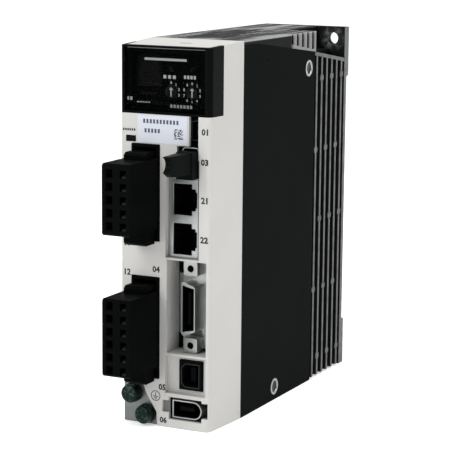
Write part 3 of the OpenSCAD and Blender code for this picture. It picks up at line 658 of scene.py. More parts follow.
class Solid:
    """A mesh under construction, in millimetres from the case corner."""

    def __init__(self) -> None:
        """Starts with an empty mesh."""
        self.mesh = bmesh.new()

    @classmethod
    def of_node(cls, node: str) -> "Solid":
        """Merged copy of a CAD node, with its flat faces made whole.

        Args:
            node: The CAD node's name.

        Returns:
            The copy.
        """
        solid = cls()
        solid.mesh.from_mesh(frame["nodes"][node].data)
        solid.mesh.transform(Matrix.Scale(1 / MM, 4) @ Matrix.Translation(-CORNER))
        bmesh.ops.remove_doubles(solid.mesh, verts=solid.mesh.verts, dist=WELD)
        bmesh.ops.dissolve_limit(solid.mesh, angle_limit=math.radians(0.6),
                                 verts=solid.mesh.verts, edges=solid.mesh.edges)
        return solid

    def block(self, x: Span, y: Span, z: Span) -> "Solid":
        """Adds a box between three ranges.

        Args:
            x: Range in x.
            y: Range in y.
            z: Range in z.

        Returns:
            This solid.
        """
        spans = (x, y, z)
        for vert in bmesh.ops.create_cube(self.mesh, size=1)["verts"]:
            vert.co = Vector(spans[k][0] if vert.co[k] < 0 else spans[k][1] for k in range(3))
        return self

    def prism(self, outline: Sequence[Span], axis: Axis, span: Span) -> "Solid":
        """Adds an outline drawn along an axis.

        Args:
            outline: Corners in the two other axes, in their order.
            axis: The axis that the outline is drawn along.
            span: Where it starts and ends on that axis.

        Returns:
            This solid.
        """
        rings = [self.ring(outline, axis, along) for along in span]
        return self.faced([self.mesh.faces.new(ring) for ring in rings] + self.band(*rings))

    def ring(self, outline: Sequence[Span], axis: Axis, along: float) -> list[bmesh.types.BMVert]:
        """Adds the corners of an outline at a place along an axis.

        Args:
            outline: Corners in the two other axes, in their order.
            axis: The axis.
            along: Place along it.

        Returns:
            The corners.
        """
        corners = []
        for first, second in outline:
            point = [first, second]
            point.insert(axis.value, along)
            corners.append(self.mesh.verts.new(point))
        return corners

    def band(self, one: list[bmesh.types.BMVert], two: list[bmesh.types.BMVert],
             sides: int = 0) -> list[bmesh.types.BMFace]:
        """Adds the faces between two rings. A ring of one corner is a pole.

        Args:
            one: The first ring's corners.
            two: The second ring's corners.
            sides: Number of faces, or 0 for one to each corner.

        Returns:
            The faces.
        """
        count = sides or len(one)
        faces = []
        for k in range(count):
            after = k + 1
            corners = (one[k % len(one)], one[after % len(one)], two[after % len(two)], two[k % len(two)])
            faces.append(self.mesh.faces.new(list(dict.fromkeys(corners))))
        return faces

    def faced(self, faces: list[bmesh.types.BMFace]) -> "Solid":
        """Turns a closed shape's faces outwards."""
        bmesh.ops.recalc_face_normals(self.mesh, faces=faces)
        return self

    def turned(self, axis: Axis, centre: Span, profile: Sequence[Span], sides: int = 32) -> "Solid":
        """Adds a turned shape.

        Args:
            axis: The axis that it is turned about.
            centre: Place of the axis in the two other axes.
            profile: Pairs of a place along the axis and a radius. It closes on itself, or on
                the axis where it starts and ends with radius 0.
            sides: Number of faces round the axis.

        Returns:
            This solid.
        """
        rings = []
        for along, radius in profile:
            turns = [math.tau * k / sides for k in range(sides if radius > 0 else 1)]
            rings.append(self.ring([(centre[0] + radius * math.cos(turn), centre[1] + radius * math.sin(turn))
                                    for turn in turns], axis, along))
        if profile[0][1] > 0:
            rings.append(rings[0])
        return self.faced([face for one, two in zip(rings, rings[1:]) for face in self.band(one, two, sides)])

    def ring_wall(self, outline: Sequence[Span], wall: float, axis: Axis, span: Span) -> "Solid":
        """Adds a tube whose outer outline is given and whose wall goes inwards.

        Args:
            outline: Outer corners in the two other axes.
            wall: Thickness of the wall.
            axis: The axis that the tube runs along.
            span: Where it starts and ends on that axis.

        Returns:
            This solid.
        """
        outer, inner = ([self.ring(points, axis, along) for along in span]
                        for points in (outline, inset(outline, wall)))
        loop = [outer[0], outer[1], inner[1], inner[0], outer[0]]
        return self.faced([face for one, two in zip(loop, loop[1:]) for face in self.band(one, two)])

    def soften(self, width: float, segments: int = 2, angle: float = 35.0) -> "Solid":
        """Rounds the outer edges that are sharper than an angle in degrees.

        Args:
            width: Width of the rounding.
            segments: Number of faces across it.
            angle: The least angle of an edge.

        Returns:
            This solid.
        """
        edges = [edge for edge in self.mesh.edges if len(edge.link_faces) == 2 and edge.is_convex
                 and edge.calc_face_angle(0) > math.radians(angle)]
        bmesh.ops.bevel(self.mesh, geom=edges, offset=width, offset_type="OFFSET",
                        segments=segments, profile=0.5, affect="EDGES", clamp_overlap=True)
        return self

    def cut(self, cutter: "Solid") -> "Solid":
        """Takes another solid away from this one.

        Args:
            cutter: The solid that is taken away. It is used up.

        Returns:
            This solid.
        """
        whole, tool = self.raw("cut_whole", False), cutter.raw("cut_tool", False)
        link(whole)
        link(tool)
        modifier = whole.modifiers.new("cut", "BOOLEAN")
        modifier.operation, modifier.object, modifier.solver = "DIFFERENCE", tool, "EXACT"
        self.mesh = bmesh.new()
        self.mesh.from_mesh(evaluated(whole))
        bmesh.ops.remove_doubles(self.mesh, verts=self.mesh.verts, dist=WELD / 2)
        for piece in (whole, tool):
            bpy.data.objects.remove(piece)
        return self

    def text(self, words: str, centre: Span, height: float, face: float) -> "Solid":
        """Adds figures that stand on a face looking to the front.

        Args:
            words: The figures.
            centre: Their middle in x and z.
            height: Their height.
            face: Where the face is in y.

        Returns:
            This solid.
        """
        curve = bpy.data.curves.new("figures", "FONT")
        curve.body, curve.extrude, curve.resolution_u, curve.offset = words, 0.01, 2, STROKE
        writer = bpy.data.objects.new("figures", curve)
        link(writer)
        data = evaluated(writer)
        bpy.data.objects.remove(writer)
        low = Vector(min(v.co[k] for v in data.vertices) for k in range(3))
        high = Vector(max(v.co[k] for v in data.vertices) for k in range(3))
        size = height / (high.y - low.y)
        data.transform(Matrix.Translation((centre[0], face, centre[1]))
                       @ Matrix.Rotation(math.pi / 2, 4, "X")
                       @ Matrix.Diagonal((size, size, PRINT * 100, 1))
                       @ Matrix.Translation(-(low + high) / 2))
        self.mesh.from_mesh(data)
        return self

    def dashes(self, x: Span, z: Span, face: float, count: int, fill: float = 0.72) -> "Solid":
        """Adds a row of short tiles that stand for a line of small print.

        Args:
            x: The row's range in x.
            z: The row's range in z.
            face: Where the face that it stands on is in y.
            count: Number of tiles.
            fill: A tile's share of its pitch.

        Returns:
            This solid.
        """
        pitch = (x[1] - x[0]) / count
        for k in range(count):
            start = x[0] + k * pitch
            self.block((start, start + pitch * fill), (face - PRINT, face + PRINT), z)
        return self

    def pattern(self, name: str) -> bpy.types.Object:
        """Makes an undressed piece about its own origin, for a recipe to repeat.

        Args:
            name: Name of the object.

        Returns:
            The object.
        """
        made = self.raw(name, False)
        made.data.transform(Matrix.Scale(MM, 4))
        smooth(made.data)
        link(made)
        return made

    def raw(self, name: str, placed: bool = True) -> bpy.types.Object:
        """Turns the mesh into an object, in the part's frame or left in millimetres.

        Args:
            name: Name of the object.
            placed: True for the part's frame, in metres.

        Returns:
            The object. The solid is used up.
        """
        if placed:
            self.mesh.transform(Matrix.Translation(CORNER) @ Matrix.Scale(MM, 4))
        data = bpy.data.meshes.new(name)
        self.mesh.to_mesh(data)
        self.mesh.free()
        smooth(data)
        return bpy.data.objects.new(name, data)

    def piece(self, name: str, finish: Finish, body: str, *nodes: str) -> bpy.types.Object:
        """Makes the finished piece, on a body and in place of CAD nodes."""
        return settle(self.raw(name), finish, body, *nodes)


def inset(outline: Sequence[Span], wall: float) -> list[Span]:
    """Outline moved inwards by a wall's thickness.

    Args:
        outline: The corners.
        wall: How far each side moves.

    Returns:
        The moved corners.
    """
    turn = sum(a[0] * b[1] - b[0] * a[1] for a, b in zip(outline, [*outline[1:], outline[0]]))
    side = 1 if turn > 0 else -1
    points = []
    for k, here in enumerate(outline):
        before, after = Vector(outline[k - 1]), Vector(outline[(k + 1) % len(outline)])
        one = (Vector(here) - before).normalized()
        two = (after - Vector(here)).normalized()
        first, second = Vector((-one.y, one.x)) * side, Vector((-two.y, two.x)) * side
        across = (first + second).normalized()
        points.append(tuple(Vector(here) + across * (wall / max(0.3, across.dot(first)))))
    return points


def rounded(x: Span, z: Span, radius: float, steps: int = 4) -> list[Span]:
    """Rectangle with rounded corners.

    Args:
        x: Range of the first coordinate.
        z: Range of the second.
        radius: Radius of the corners.
        steps: Number of sides in each corner.

    Returns:
        The corners.
    """
    corners = ((x[1] - radius, z[1] - radius, 0), (x[0] + radius, z[1] - radius, 90),
               (x[0] + radius, z[0] + radius, 180), (x[1] - radius, z[0] + radius, 270))
    return [(cx + radius * math.cos(math.radians(start + 90 * k / steps)),
             cz + radius * math.sin(math.radians(start + 90 * k / steps)))
            for cx, cz, start in corners for k in range(steps + 1)]


def settle(piece: bpy.types.Object, finish: Finish, body: str, *nodes: str) -> bpy.types.Object:
    """Links a piece, dresses it, and gives it its body and the CAD nodes it stands for.

    Args:
        piece: Object whose mesh is in the part's frame.
        finish: The finish that it gets.
        body: Name of the CAD body that it rides on.
        *nodes: CAD nodes that it replaces.

    Returns:
        The piece.
    """
    link(piece)
    even_shading(piece)
    piece.data.materials.clear()
    piece.data.materials.append(finish.material())
    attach(piece, body)
    if nodes:
        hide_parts(*nodes)
    log.info("%s on %s, %d faces", piece.name, body, len(piece.data.polygons))
    return piece


def even_shading(piece: bpy.types.Object) -> None:
    """Weights a piece's shading by the size of its faces, so that flat faces look flat.

    Args:
        piece: The piece.
    """
    modifier = piece.modifiers.new("even", "WEIGHTED_NORMAL")
    modifier.keep_sharp, modifier.weight = True, 90
    data = evaluated(piece)
    piece.modifiers.remove(modifier)
    data.name = piece.name
    piece.data = data


def body_of(node: str) -> str:
    """Name of the body that a CAD node belongs to."""
    return frame["nodes"][node]["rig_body"]


def softened(node: str, finish: Finish, width: float = 0.2, segments: int = 2) -> bpy.types.Object:
    """Piece that stands for a CAD node, with its outer edges rounded."""
    return Solid.of_node(node).soften(width, segments).piece(f"{node}_shape", finish, body_of(node), node)


def refinish(finish: Finish, *nodes: str) -> None:
    """Gives CAD nodes a better material.

    Args:
        finish: The finish.
        *nodes: The CAD nodes' names.
    """
    for node in nodes:
        for slot in frame["nodes"][node].material_slots:
            slot.material = finish.material()


# ---- Geometry Nodes -------------------------------------------------------------------------

class Recipe(Graph):
    """A Geometry Nodes tree with named inputs, ending in real geometry with its material."""

    def __init__(self, name: str) -> None:
        """Starts a tree with its input and output.

        Args:
            name: The tree's name.
        """
        super().__init__(bpy.data.node_groups.new(name, "GeometryNodeTree"))
        self.tree.interface.new_socket("Geometry", in_out="OUTPUT", socket_type="NodeSocketGeometry")
        self.entry = self.tree.nodes.new("NodeGroupInput")
        self.exit = self.tree.nodes.new("NodeGroupOutput")

    def input(self, name: str, kind: str) -> Value:
        """Adds a named input, such as a Float, an Int, a Vector, an Object or a Material."""
        self.tree.interface.new_socket(name, in_out="INPUT", socket_type=f"NodeSocket{kind}")
        return Value(self, self.entry.outputs[name])

    def close(self, geometry: Value) -> None:
        """Ends the tree in Realize Instances and Set Material.

        Args:
            geometry: What the tree has made.
        """
        solid = self.value("GeometryNodeRealizeInstances", None, {0: geometry})
        finish = self.input("Finish", "Material")
        dressed = self.add("GeometryNodeSetMaterial", None, {"Geometry": solid, "Material": finish})
        self.tree.links.new(dressed.outputs[0], self.exit.inputs[0])

    def repeat(self, pattern: Value, points: Value, **inputs: object) -> None:
        """Ends the tree in copies of a pattern piece on points.

        Args:
            pattern: The pattern piece.
            points: The points.
            **inputs: More inputs of the node that sets the copies.
        """
        copy = self.value("GeometryNodeObjectInfo", None, {"Object": pattern}, "Geometry")
        self.close(self.value("GeometryNodeInstanceOnPoints", None,
                              {"Points": points, "Instance": copy} | inputs))

    def make(self, name: str, finish: Finish, body: str, nodes: Sequence[str] = (),
             **values: object) -> bpy.types.Object:
        """Runs the tree and turns the result into a plain piece.

        Args:
            name: Name of the piece.
            finish: Its finish.
            body: The CAD body that it rides on.
            nodes: CAD nodes that it replaces.
            **values: The tree's inputs. A solid becomes a pattern piece for the run.

        Returns:
            The piece.
        """
        maker = bpy.data.objects.new(f"{name}_maker", bpy.data.meshes.new(f"{name}_maker"))
        helpers = [maker]
        link(maker)
        for key, value in values.items():
            if isinstance(value, Solid):
                values[key] = value.pattern(f"{name}_pattern")
                helpers.append(values[key])
        modifier = maker.modifiers.new("recipe", "NODES")
        modifier.node_group = self.tree
        values["Finish"] = finish.material()
        for item in self.tree.interface.items_tree:
            if item.in_out == "INPUT":
                modifier[item.identifier] = values[item.name]
        data = evaluated(maker)
        maker.modifiers.remove(modifier)
        for helper in helpers:
            bpy.data.objects.remove(helper)
        smooth(data)
        return settle(bpy.data.objects.new(name, data), finish, body, *nodes)


@cache
def row_recipe() -> Recipe:
    """Tree that sets copies of a pattern piece along a straight row.

    Returns:
        The tree.
    """
    recipe = Recipe("row")
    pattern, count = recipe.input("Pattern", "Object"), recipe.input("Count", "Int")
    start, step = recipe.input("Start", "Vector"), recipe.input("Step", "Vector")
    line = recipe.value("GeometryNodeMeshLine", {"mode": "OFFSET"},
                        {"Count": count, "Start Location": start, "Offset": step})
    recipe.repeat(pattern, line)
    return recipe


def code_recipe() -> Recipe:
    """Tree that fills about half of a square grid with small dark tiles, at random.

    Returns:
        The tree.
    """
    recipe = Recipe("code")
    centre, cells = recipe.input("Centre", "Vector"), recipe.input("Cells", "Int")
    side, tile = recipe.input("Side", "Float"), recipe.input("Tile", "Vector")
    grid = recipe.value("GeometryNodeMeshGrid", None,
                        {"Size X": side, "Size Y": side, "Vertices X": cells, "Vertices Y": cells})
    pick = recipe.add("FunctionNodeRandomValue", {"data_type": "BOOLEAN"}, {"Probability": 0.55, "Seed": 7})
    chosen = next(out for out in pick.outputs if out.enabled)
    cube = recipe.value("GeometryNodeMeshCube", None, {"Size": tile})
    tiles = recipe.value("GeometryNodeInstanceOnPoints", None,
                         {"Points": grid, "Selection": chosen, "Instance": cube})
    stood = recipe.value("GeometryNodeTransform", None,
                         {"Geometry": tiles, "Rotation": (math.pi / 2, 0, 0), "Translation": centre})
    recipe.close(stood)
    return recipe


def fin_recipe() -> Recipe:
    """Tree that sets fins along a row and cuts their height to a sloping edge.

    Returns:
        The tree.
    """
    recipe = Recipe("fins")
    pattern, count = recipe.input("Pattern", "Object"), recipe.input("Count", "Int")
    first, pitch = recipe.input("First", "Vector"), recipe.input("Pitch", "Float")
    slope, height = recipe.input("Slope", "Float"), recipe.input("Height", "Float")
    step = recipe.value("ShaderNodeCombineXYZ", None, {1: pitch})
    line = recipe.value("GeometryNodeMeshLine", {"mode": "OFFSET"},
                        {"Count": count, "Start Location": first, "Offset": step})
    index = recipe.value("GeometryNodeInputIndex")
    stretch = 1 - index * pitch * slope / height
    scale = recipe.value("ShaderNodeCombineXYZ", None, {0: 1.0, 1: 1.0, 2: stretch})
    recipe.repeat(pattern, line, Scale=scale)
    return recipe


def boss_recipe() -> Recipe:
    """Tree that sets a pattern piece on every second crossing of a grid of columns and levels.

    Returns:
        The tree.
    """
    recipe = Recipe("bosses")
    pattern, centre = recipe.input("Pattern", "Object"), recipe.input("Centre", "Vector")
    columns, levels = recipe.input("Columns", "Int"), recipe.input("Levels", "Int")
    length, height = recipe.input("Length", "Float"), recipe.input("Height", "Float")
    grid = recipe.value("GeometryNodeMeshGrid", None, {"Size X": length, "Size Y": height,
                                                       "Vertices X": columns, "Vertices Y": levels})
    stood = recipe.value("GeometryNodeTransform", None,
                         {"Geometry": grid, "Rotation": (math.pi / 2, 0, math.pi / 2),
                          "Translation": centre})
    index = recipe.value("GeometryNodeInputIndex")
    column = (index + 0.01) // levels
    level = index - column * levels
    recipe.repeat(pattern, stood, Selection=(column + level) % 2)
    return recipe


def place(x: float, y: float, z: float) -> Vector:
    """Point given in millimetres from the case corner, in the part's frame."""
    return CORNER + Vector((x, y, z)) * MM


def offset(x: float, y: float, z: float) -> Vector:
    """Step given in millimetres, in metres."""
    return Vector((x, y, z)) * MM


def cross(axis: Axis, span: Span, arm: float, width: float) -> Solid:
    """Cross that cuts a screw's recess, with arms of a half length about an axis.

    Args:
        axis: The axis that it cuts along.
        span: Where it starts and ends on that axis.
        arm: Half length of an arm.
        width: Width of an arm.

    Returns:
        The cross.
    """
    solid = Solid()
    long, short = (-arm, arm), (-width / 2, width / 2)
    for ranges in ([long, short], [short, long]):
        ranges.insert(axis.value, span)
        solid.block(*ranges)
    return solid


def set_pair(name: str, finish: Finish, body: str, solid: Solid, at: Sequence[Vector], *nodes: str) -> None:
    """Sets a solid at each of two places, as one piece.

    Args:
        name: Name of the piece.
        finish: Its finish.
        body: The CAD body that it rides on.
        solid: The solid, about its own origin.
        at: The two places.
        *nodes: CAD nodes that it replaces.
    """
    row_recipe().make(name, finish, body, nodes, Pattern=solid, Count=2, Start=at[0], Step=at[1] - at[0])


# ---- Covers ---------------------------------------------------------------------------------

@dataclass
class FrontCover:
    """Light front cover with its printed port numbers and the earth sign."""
    edge: float = 0.22
    number_height: float = 2.5
    port_column: float = 35.8
    usb_level: float = 117.0
    safety_level: float = 105.5
    network_levels: Span = (90.9, 75.7)
    ribbon_mark: Span = (15.1, 62.5)
    motor_mark: Span = (2.5, 60.4)
    mains_mark: Span = (2.2, 72.0)
    scale_mark: Span = (17.9, 15.9)
    encoder_mark: Span = (18.4, 2.75)
    charge_mark: tuple[Span, Span] = ((0.5, 6.2), (115.8, 116.7))
    earth_centre: Span = (15.0, 12.1)
    earth_radius: float = 2.1
    earth_line: float = 0.32

    def build(self) -> None:
        """Makes the moulding and its print."""
        softened("front_cover", COVER, self.edge)
        self.number_ports()
        self.sign_earth()

    def number_ports(self) -> None:
        """Prints a plain number beside each socket."""
        marks = {"01": (self.port_column, self.usb_level), "03": (self.port_column, self.safety_level),
                 "21": (self.port_column, self.network_levels[0]),
                 "22": (self.port_column, self.network_levels[1]), "04": self.ribbon_mark,
                 "12": self.motor_mark, "11": self.mains_mark, "05": self.scale_mark,
                 "06": self.encoder_mark}
        figures = Solid()
        for number, centre in marks.items():
            figures.text(number, centre, self.number_height, 0)
        figures.dashes(*self.charge_mark, 0, 6)
        figures.piece("port_numbers", INK, body_of("front_cover"))

    def sign_earth(self) -> None:
        """Prints the protective earth sign."""
        x, z = self.earth_centre
        radius = self.earth_radius
        face = (-PRINT, PRINT)
        inner = radius - self.earth_line
        sign = Solid().turned(Axis.Y, (x, z), [(face[0], radius), (face[1], radius),
                                               (face[1], inner), (face[0], inner)], 40)
        sign.block((x - self.earth_line / 2, x + self.earth_line / 2), face, (z - 0.2, z + 1.35))
        for drop, half in ((0.0, 1.25), (0.6, 0.8), (1.15, 0.35)):
            sign.block((x - half, x + half), face, (z - 0.35 - drop, z - 0.05 - drop))
        sign.piece("earth_sign", INK, body_of("front_cover"))


@dataclass
class CaseShell:
    """Black rear moulding with its vents, and the coated side plate with its two screws."""
    edge: float = 0.4
    plate_edge: float = 0.3
    screw_at: tuple[Span, Span] = ((87.4, 135.0), (57.0, 5.6))
    screw_radius: float = 3.45
    rim: float = 0.5

    def build(self) -> None:
        """Makes the moulding, the plate and the screws."""
        softened("case_shell", CASE, self.edge)
        softened("side_plate", SIDE, self.plate_edge)
        self.fit_screws()

    def fit_screws(self) -> None:
        """Sets a countersunk screw with a cross recess in each corner of the plate."""
        radius = self.screw_radius
        head = Solid().turned(Axis.X, (0, 0), [(-7, 0), (-7, 1.7), (-1.75, 1.7), (-0.12, radius - 0.08),
                                               (-0.05, radius - self.rim), (-0.45, radius - self.rim - 0.5),
                                               (-0.5, 0)], 40)
        head.cut(cross(Axis.X, (-1.7, 0.5), 1.9, 0.85))
        rim = Solid().turned(Axis.X, (0, 0), [(-0.3, radius - 1.1), (0.015, radius - 0.95),
                                              (0.02, radius - 0.15), (-0.1, radius)], 40)
        right = node_span("side_plate", 0)[1]
        at = [place(right, y, z) for y, z in self.screw_at]
        body = body_of("side_screws")
        set_pair("side_screw_pair", SIDE_SCREW, body, head, at, "side_screws")
        set_pair("side_screw_rims", SCREW_RIM, body, rim, at)


@dataclass
class HeatSink:
    """Cast heat sink: rear plate with pads, side wall, sloping ledge, fins and ejector bosses."""
    fin_first: float = 95.8
    fin_pitch: float = 5.3
    fin_count: int = 6
    fin_root: float = 33.8
    fin_tip: float = 1.75
    fin_foot: float = 2.3
    slope: float = 0.148
    slope_start: float = 36.0
    boss_radius: float = 1.75
    boss_step: float = 30.2
    boss_first: float = 9.2
    top: float = 150.0
    plate: Span = (125.4, 128.0)
    pads: Span = (20.0, 129.0)
    wall: tuple[Span, Span] = ((33.0, 35.4), (27.0, 1.8))
    ledge_front: float = 93.4
    ledge_wall: float = 1.6
    pedestal: Block = ((11.4, 15.4), (96, 122), (44, 118))
    pedestal_legs: Point = (46, 80, 114)
    leg: float = 3.0
    hole: Span = (34.0, 145.0)
    slot: Span = (6.0, 5.0)
    hole_radius: float = 2.6
    fin_gap: float = 0.6
    boss_levels: int = 5

    def height(self, y: float) -> float:
        """Height of the sloping edge at a depth."""
        return self.top - self.slope * (y - self.slope_start)

    def build(self) -> None:
        """Makes the casting and its fins."""
        body = body_of("heat_sink")
        self.cast_body().piece("sink_body", SINK, body, "heat_sink")
        self.set_fins(body)
        self.set_bosses(body)

    def cast_body(self) -> Solid:
        """Rear plate, side wall, ledge and pedestal.

        Returns:
            The casting without its fins.
        """
        right, back = (node_span("heat_sink", axis)[1] for axis in (0, 1))
        front, middle = self.plate
        low, high = self.pads
        plate = Solid().prism([(front, 0), (back, 0), (back, low), (middle, low + 0.8), (middle, high - 0.8),
                               (back, high), (back, self.top), (front, self.top)], Axis.X, (0, right))
        radius, through = self.hole_radius, (front - 2, back + 2)
        bores = Solid()
        for centre in (self.hole, self.slot):
            bores.turned(Axis.Y, centre, [(through[0], 0), (through[0], radius),
                                          (through[1], radius), (through[1], 0)], 40)
        plate.cut(bores)
        x, z = self.slot
        plate.cut(Solid().block((x - radius, x + radius), through, (-3, z)))
        plate.soften(0.35, 3)
        wall_x, (wall_front, wall_low) = self.wall
        rest = Solid().block(wall_x, (wall_front, front + 0.1), (wall_low, self.height(front) - 1))
        start, end, thick = self.ledge_front, front + 0.1, self.ledge_wall
        rest.prism([(start, self.height(start)), (end, self.height(front)),
                    (end, self.height(front) - thick), (start, self.height(start) - thick)],
                   Axis.X, (wall_x[0], right))
        rest.block(*self.pedestal)
        for level in self.pedestal_legs:
            rest.block((self.pedestal[0][0], 34), self.pedestal[1], (level, level + self.leg))
        rest.soften(0.25)
        keep = bpy.data.meshes.new("plate")
        plate.mesh.to_mesh(keep)
        rest.mesh.from_mesh(keep)
        return rest

    def set_fins(self, body: str) -> None:
        """Sets the fins in a row, each a little lower than the one before it.

        Args:
            body: The CAD body that the pieces ride on.
        """
        right = node_span("heat_sink", 0)[1]
        depth, tip, foot = right - self.fin_root, self.fin_tip / 2, self.fin_foot / 2
        top = self.height(self.fin_first) - 1.2 - self.fin_gap
        outline = [(0, foot), (0, -foot), (depth - 0.35, -tip), (depth - 0.1, -tip + 0.12),
                   (depth, -tip + 0.4), (depth, tip - 0.4), (depth - 0.1, tip - 0.12), (depth - 0.35, tip)]
        fin = Solid().prism(outline, Axis.Z, (0, top)).soften(0.2, 2, 60)
        fin_recipe().make("sink_fins", SINK, body, Pattern=fin, Count=self.fin_count,
                          First=place(self.fin_root, self.fin_first, self.fin_gap),
                          Pitch=self.fin_pitch * MM, Slope=self.slope, Height=top * MM)

    def set_bosses(self, body: str) -> None:
        """Sets the ejector bosses on every second crossing of fins and levels.

        Args:
            body: The CAD body that the pieces ride on.
        """
        radius, right = self.boss_radius, node_span("heat_sink", 0)[1]
        length = right - self.fin_root
        boss = Solid().turned(Axis.X, (0, 0), [(0, 0), (0, radius), (length - 0.25, radius),
                                               (length, radius - 0.25), (length, radius - 0.6),
                                               (length - 0.08, radius - 0.7), (length - 0.08, 0)], 24)
        span, rise = (self.fin_count - 1) * self.fin_pitch, (self.boss_levels - 1) * self.boss_step
        boss_recipe().make("sink_bosses", SINK, body, Pattern=boss, Columns=self.fin_count,
                           Levels=self.boss_levels, Length=span * MM, Height=rise * MM,
                           Centre=place(self.fin_root, self.fin_first + span / 2, self.boss_first + rise / 2))


# ---- Display --------------------------------------------------------------------------------

@dataclass
class DisplayHead:
    """Display frame, smoked lid, printed panel, address dials, lamps and figures."""
    frame_edge: float = 0.45
    lid_edge: float = 0.12
    border: float = 1.5
    border_in: Span = (1.2, 2.2)
    legends: tuple[tuple[Span, Span, int, float], ...] = (
        ((17.9, 24.0), (136.5, 137.8), 3, 0.6), ((26.7, 32.2), (136.7, 138.0), 4, 0.65),
        ((20.9, 30.7), (125.5, 126.7), 7, 0.65), ((2.2, 5.0), (127.6, 128.9), 2, 0.6),
        ((6.5, 12.5), (126.9, 127.3), 5, 0.7))
    band: tuple[Span, Span] = ((9.8, 27.8), (143.2, 144.1))
    lid_back: float = 1.37
    window_face: float = 0.3
    panel_face: float = 3.9
    dials: Span = (19.3, 28.3)
    dial_level: float = 131.1
    ring_radius: float = 3.55
    digit_height: float = 1.15
    lamp_level: float = 139.8
    lamp_radius: float = 0.8
    digits_at: Span = (7.1, 12.5)
    digit_middle: float = 138.8
    figure_bar: Span = (1.6, 1.2)
    figure_step: Span = (2.0, 2.1)

    def build(self) -> None:
        """Makes every piece of the display head."""
        softened("display_bezel", BEZEL, self.frame_edge, 3)
        softened("display_lid", SMOKE, self.lid_edge)
        softened("panel_plate", PANEL, 0.1)
        softened("monitor_socket", BLACK_PART, 0.08)
        refinish(BOARD, "display_board")
        refinish(BLACK_PART, "tens_switch", "units_switch")
        self.print_lid()
        self.print_panel()
        self.set_dial("tens", self.dials[0])
        self.set_dial("units", self.dials[1])
        self.set_lamps()
        self.set_figures()

    def print_lid(self) -> None:
        """Prints rows of small tiles on the lid where it carries its legends."""
        face = self.window_face
        legends = Solid()
        for x, z, count, fill in self.legends:
            legends.dashes(x, z, face, count, fill)
        legends.piece("lid_legends", GREY_INK, body_of("display_lid"))
        (left, right), (low, high) = node_span("display_lid", 0), node_span("display_lid", 2)
        side, foot = self.border_in
        edge = [(left + side, low + foot), (right - side, low + foot),
                (right - side, high - 0.1), (left + side, high - 0.1)]
        Solid().ring_wall(edge, self.border, Axis.Y, (self.lid_back, self.lid_back + PRINT)) \
            .piece("lid_border", PANEL, body_of("display_lid"))
        band = Solid().block(self.band[0], (face - PRINT, face + PRINT), self.band[1])
        band.piece("lid_band", GREY_INK, body_of("display_lid"))

    def print_panel(self) -> None:
        """Prints the figures round the two dials."""
        face = self.panel_face
        ring = Solid()
        for x, figures in zip(self.dials, (range(4), range(10))):
            for figure in figures:
                turn = math.radians(36 * figure)
                ring.text(str(figure), (x + self.ring_radius * math.sin(turn),
                                        self.dial_level + self.ring_radius * math.cos(turn)),
                          self.digit_height, face)
        ring.piece("dial_figures", LIGHT_INK, body_of("panel_plate"))

    def set_dial(self, name: str, x: float) -> None:
        """Makes a dial with an arrow slot and the light arrow inlaid in it.

        Args:
            name: tens or units.
            x: Place of the dial's middle.
        """
        node = f"{name}_dial"
        softened(node, DIAL, 0.12)
        z = self.dial_level
        face = node_span(node, 1)[0]
        arrow = Solid().prism([(x - 0.35, z - 1.8), (x + 0.35, z - 1.8), (x + 0.35, z + 0.75),
                               (x + 1, z + 0.85), (x, z + 1.9), (x - 1, z + 0.85), (x - 0.35, z + 0.75)],
                              Axis.Y, (face + 0.35, face + 0.95))
        arrow.soften(0.06).piece(f"{name}_arrow", LIGHT_INK, body_of(node))

    def set_lamps(self) -> None:
        """Sets the two status lamps, each a domed light pipe."""
        radius, back = self.lamp_radius, node_span("status_lamps", 1)[1]
        pipe = Solid().turned(Axis.Y, (0, 0), [(-0.35, 0), (-0.3, radius * 0.45), (-0.1, radius * 0.85),
                                               (0.15, radius), (back - self.panel_face, radius),
                                               (back - self.panel_face, 0)], 24)
        at = [place(x, self.panel_face, self.lamp_level) for x in self.dials]
        set_pair("lamp_pair", LAMP, body_of("status_lamps"), pipe, at, "status_lamps")

    def set_figures(self) -> None:
        """Makes the two seven-part figures in the display block."""
        softened("digit_display", BLACK_PART, 0.1)
        face = node_span("digit_display", 1)[0]
        depth = (face + 0.05, face + 0.28)
        half, tip, thick = 1.5, 1.1, 0.4
        flat = [(-half, 0), (-tip, -thick), (tip, -thick), (half, 0), (tip, thick), (-tip, thick)]
        end, neck = self.figure_bar
        upright = [(0, -end), (thick, -neck), (thick, neck), (0, end), (-thick, neck), (-thick, -neck)]
        wide, tall = self.figure_step
        bars = Solid()
        for x in self.digits_at:
            for bar, across, levels in ((flat, (0,), (-2 * tall, 0, 2 * tall)),
                                        (upright, (-wide, wide), (-tall, tall))):
                for side in across:
                    for level in levels:
                        bars.prism([(x + side + a, self.digit_middle + level + b) for a, b in bar],
                                   Axis.Y, depth)
        bars.piece("figure_bars", FIGURE, body_of("digit_display"))


@dataclass
class RatingLabel:
    """White film with two rows of small print and a square code."""
    rows: tuple[tuple[Span, Span], ...] = (((9.4, 25.2), (119.1, 120.7)), ((10.0, 17.2), (115.5, 117.1)))
    counts: tuple[int, ...] = (11, 5)
    code_middle: Span = (24.7, 115.5)
    code_side: float = 3.9
    code_cells: int = 11
    tile_fill: float = 0.62

    def build(self) -> None:
        """Makes the film, the rows and the code."""
        softened("rating_label", LABEL, 0.04)
        face = node_span("rating_label", 1)[0]
        rows = Solid()
        for (x, z), count in zip(self.rows, self.counts):
            rows.dashes(x, z, face, count, self.tile_fill)
        rows.piece("label_rows", LABEL_INK, body_of("rating_label"))
        cell = self.code_side / self.code_cells
        x, z = self.code_middle
        code_recipe().make("label_code", LABEL_INK, body_of("rating_label"),
                           Centre=place(x, face, z), Cells=self.code_cells,
                           Side=(self.code_side - cell) * MM, Tile=offset(cell, cell, 2 * PRINT))


# ---- Sockets --------------------------------------------------------------------------------

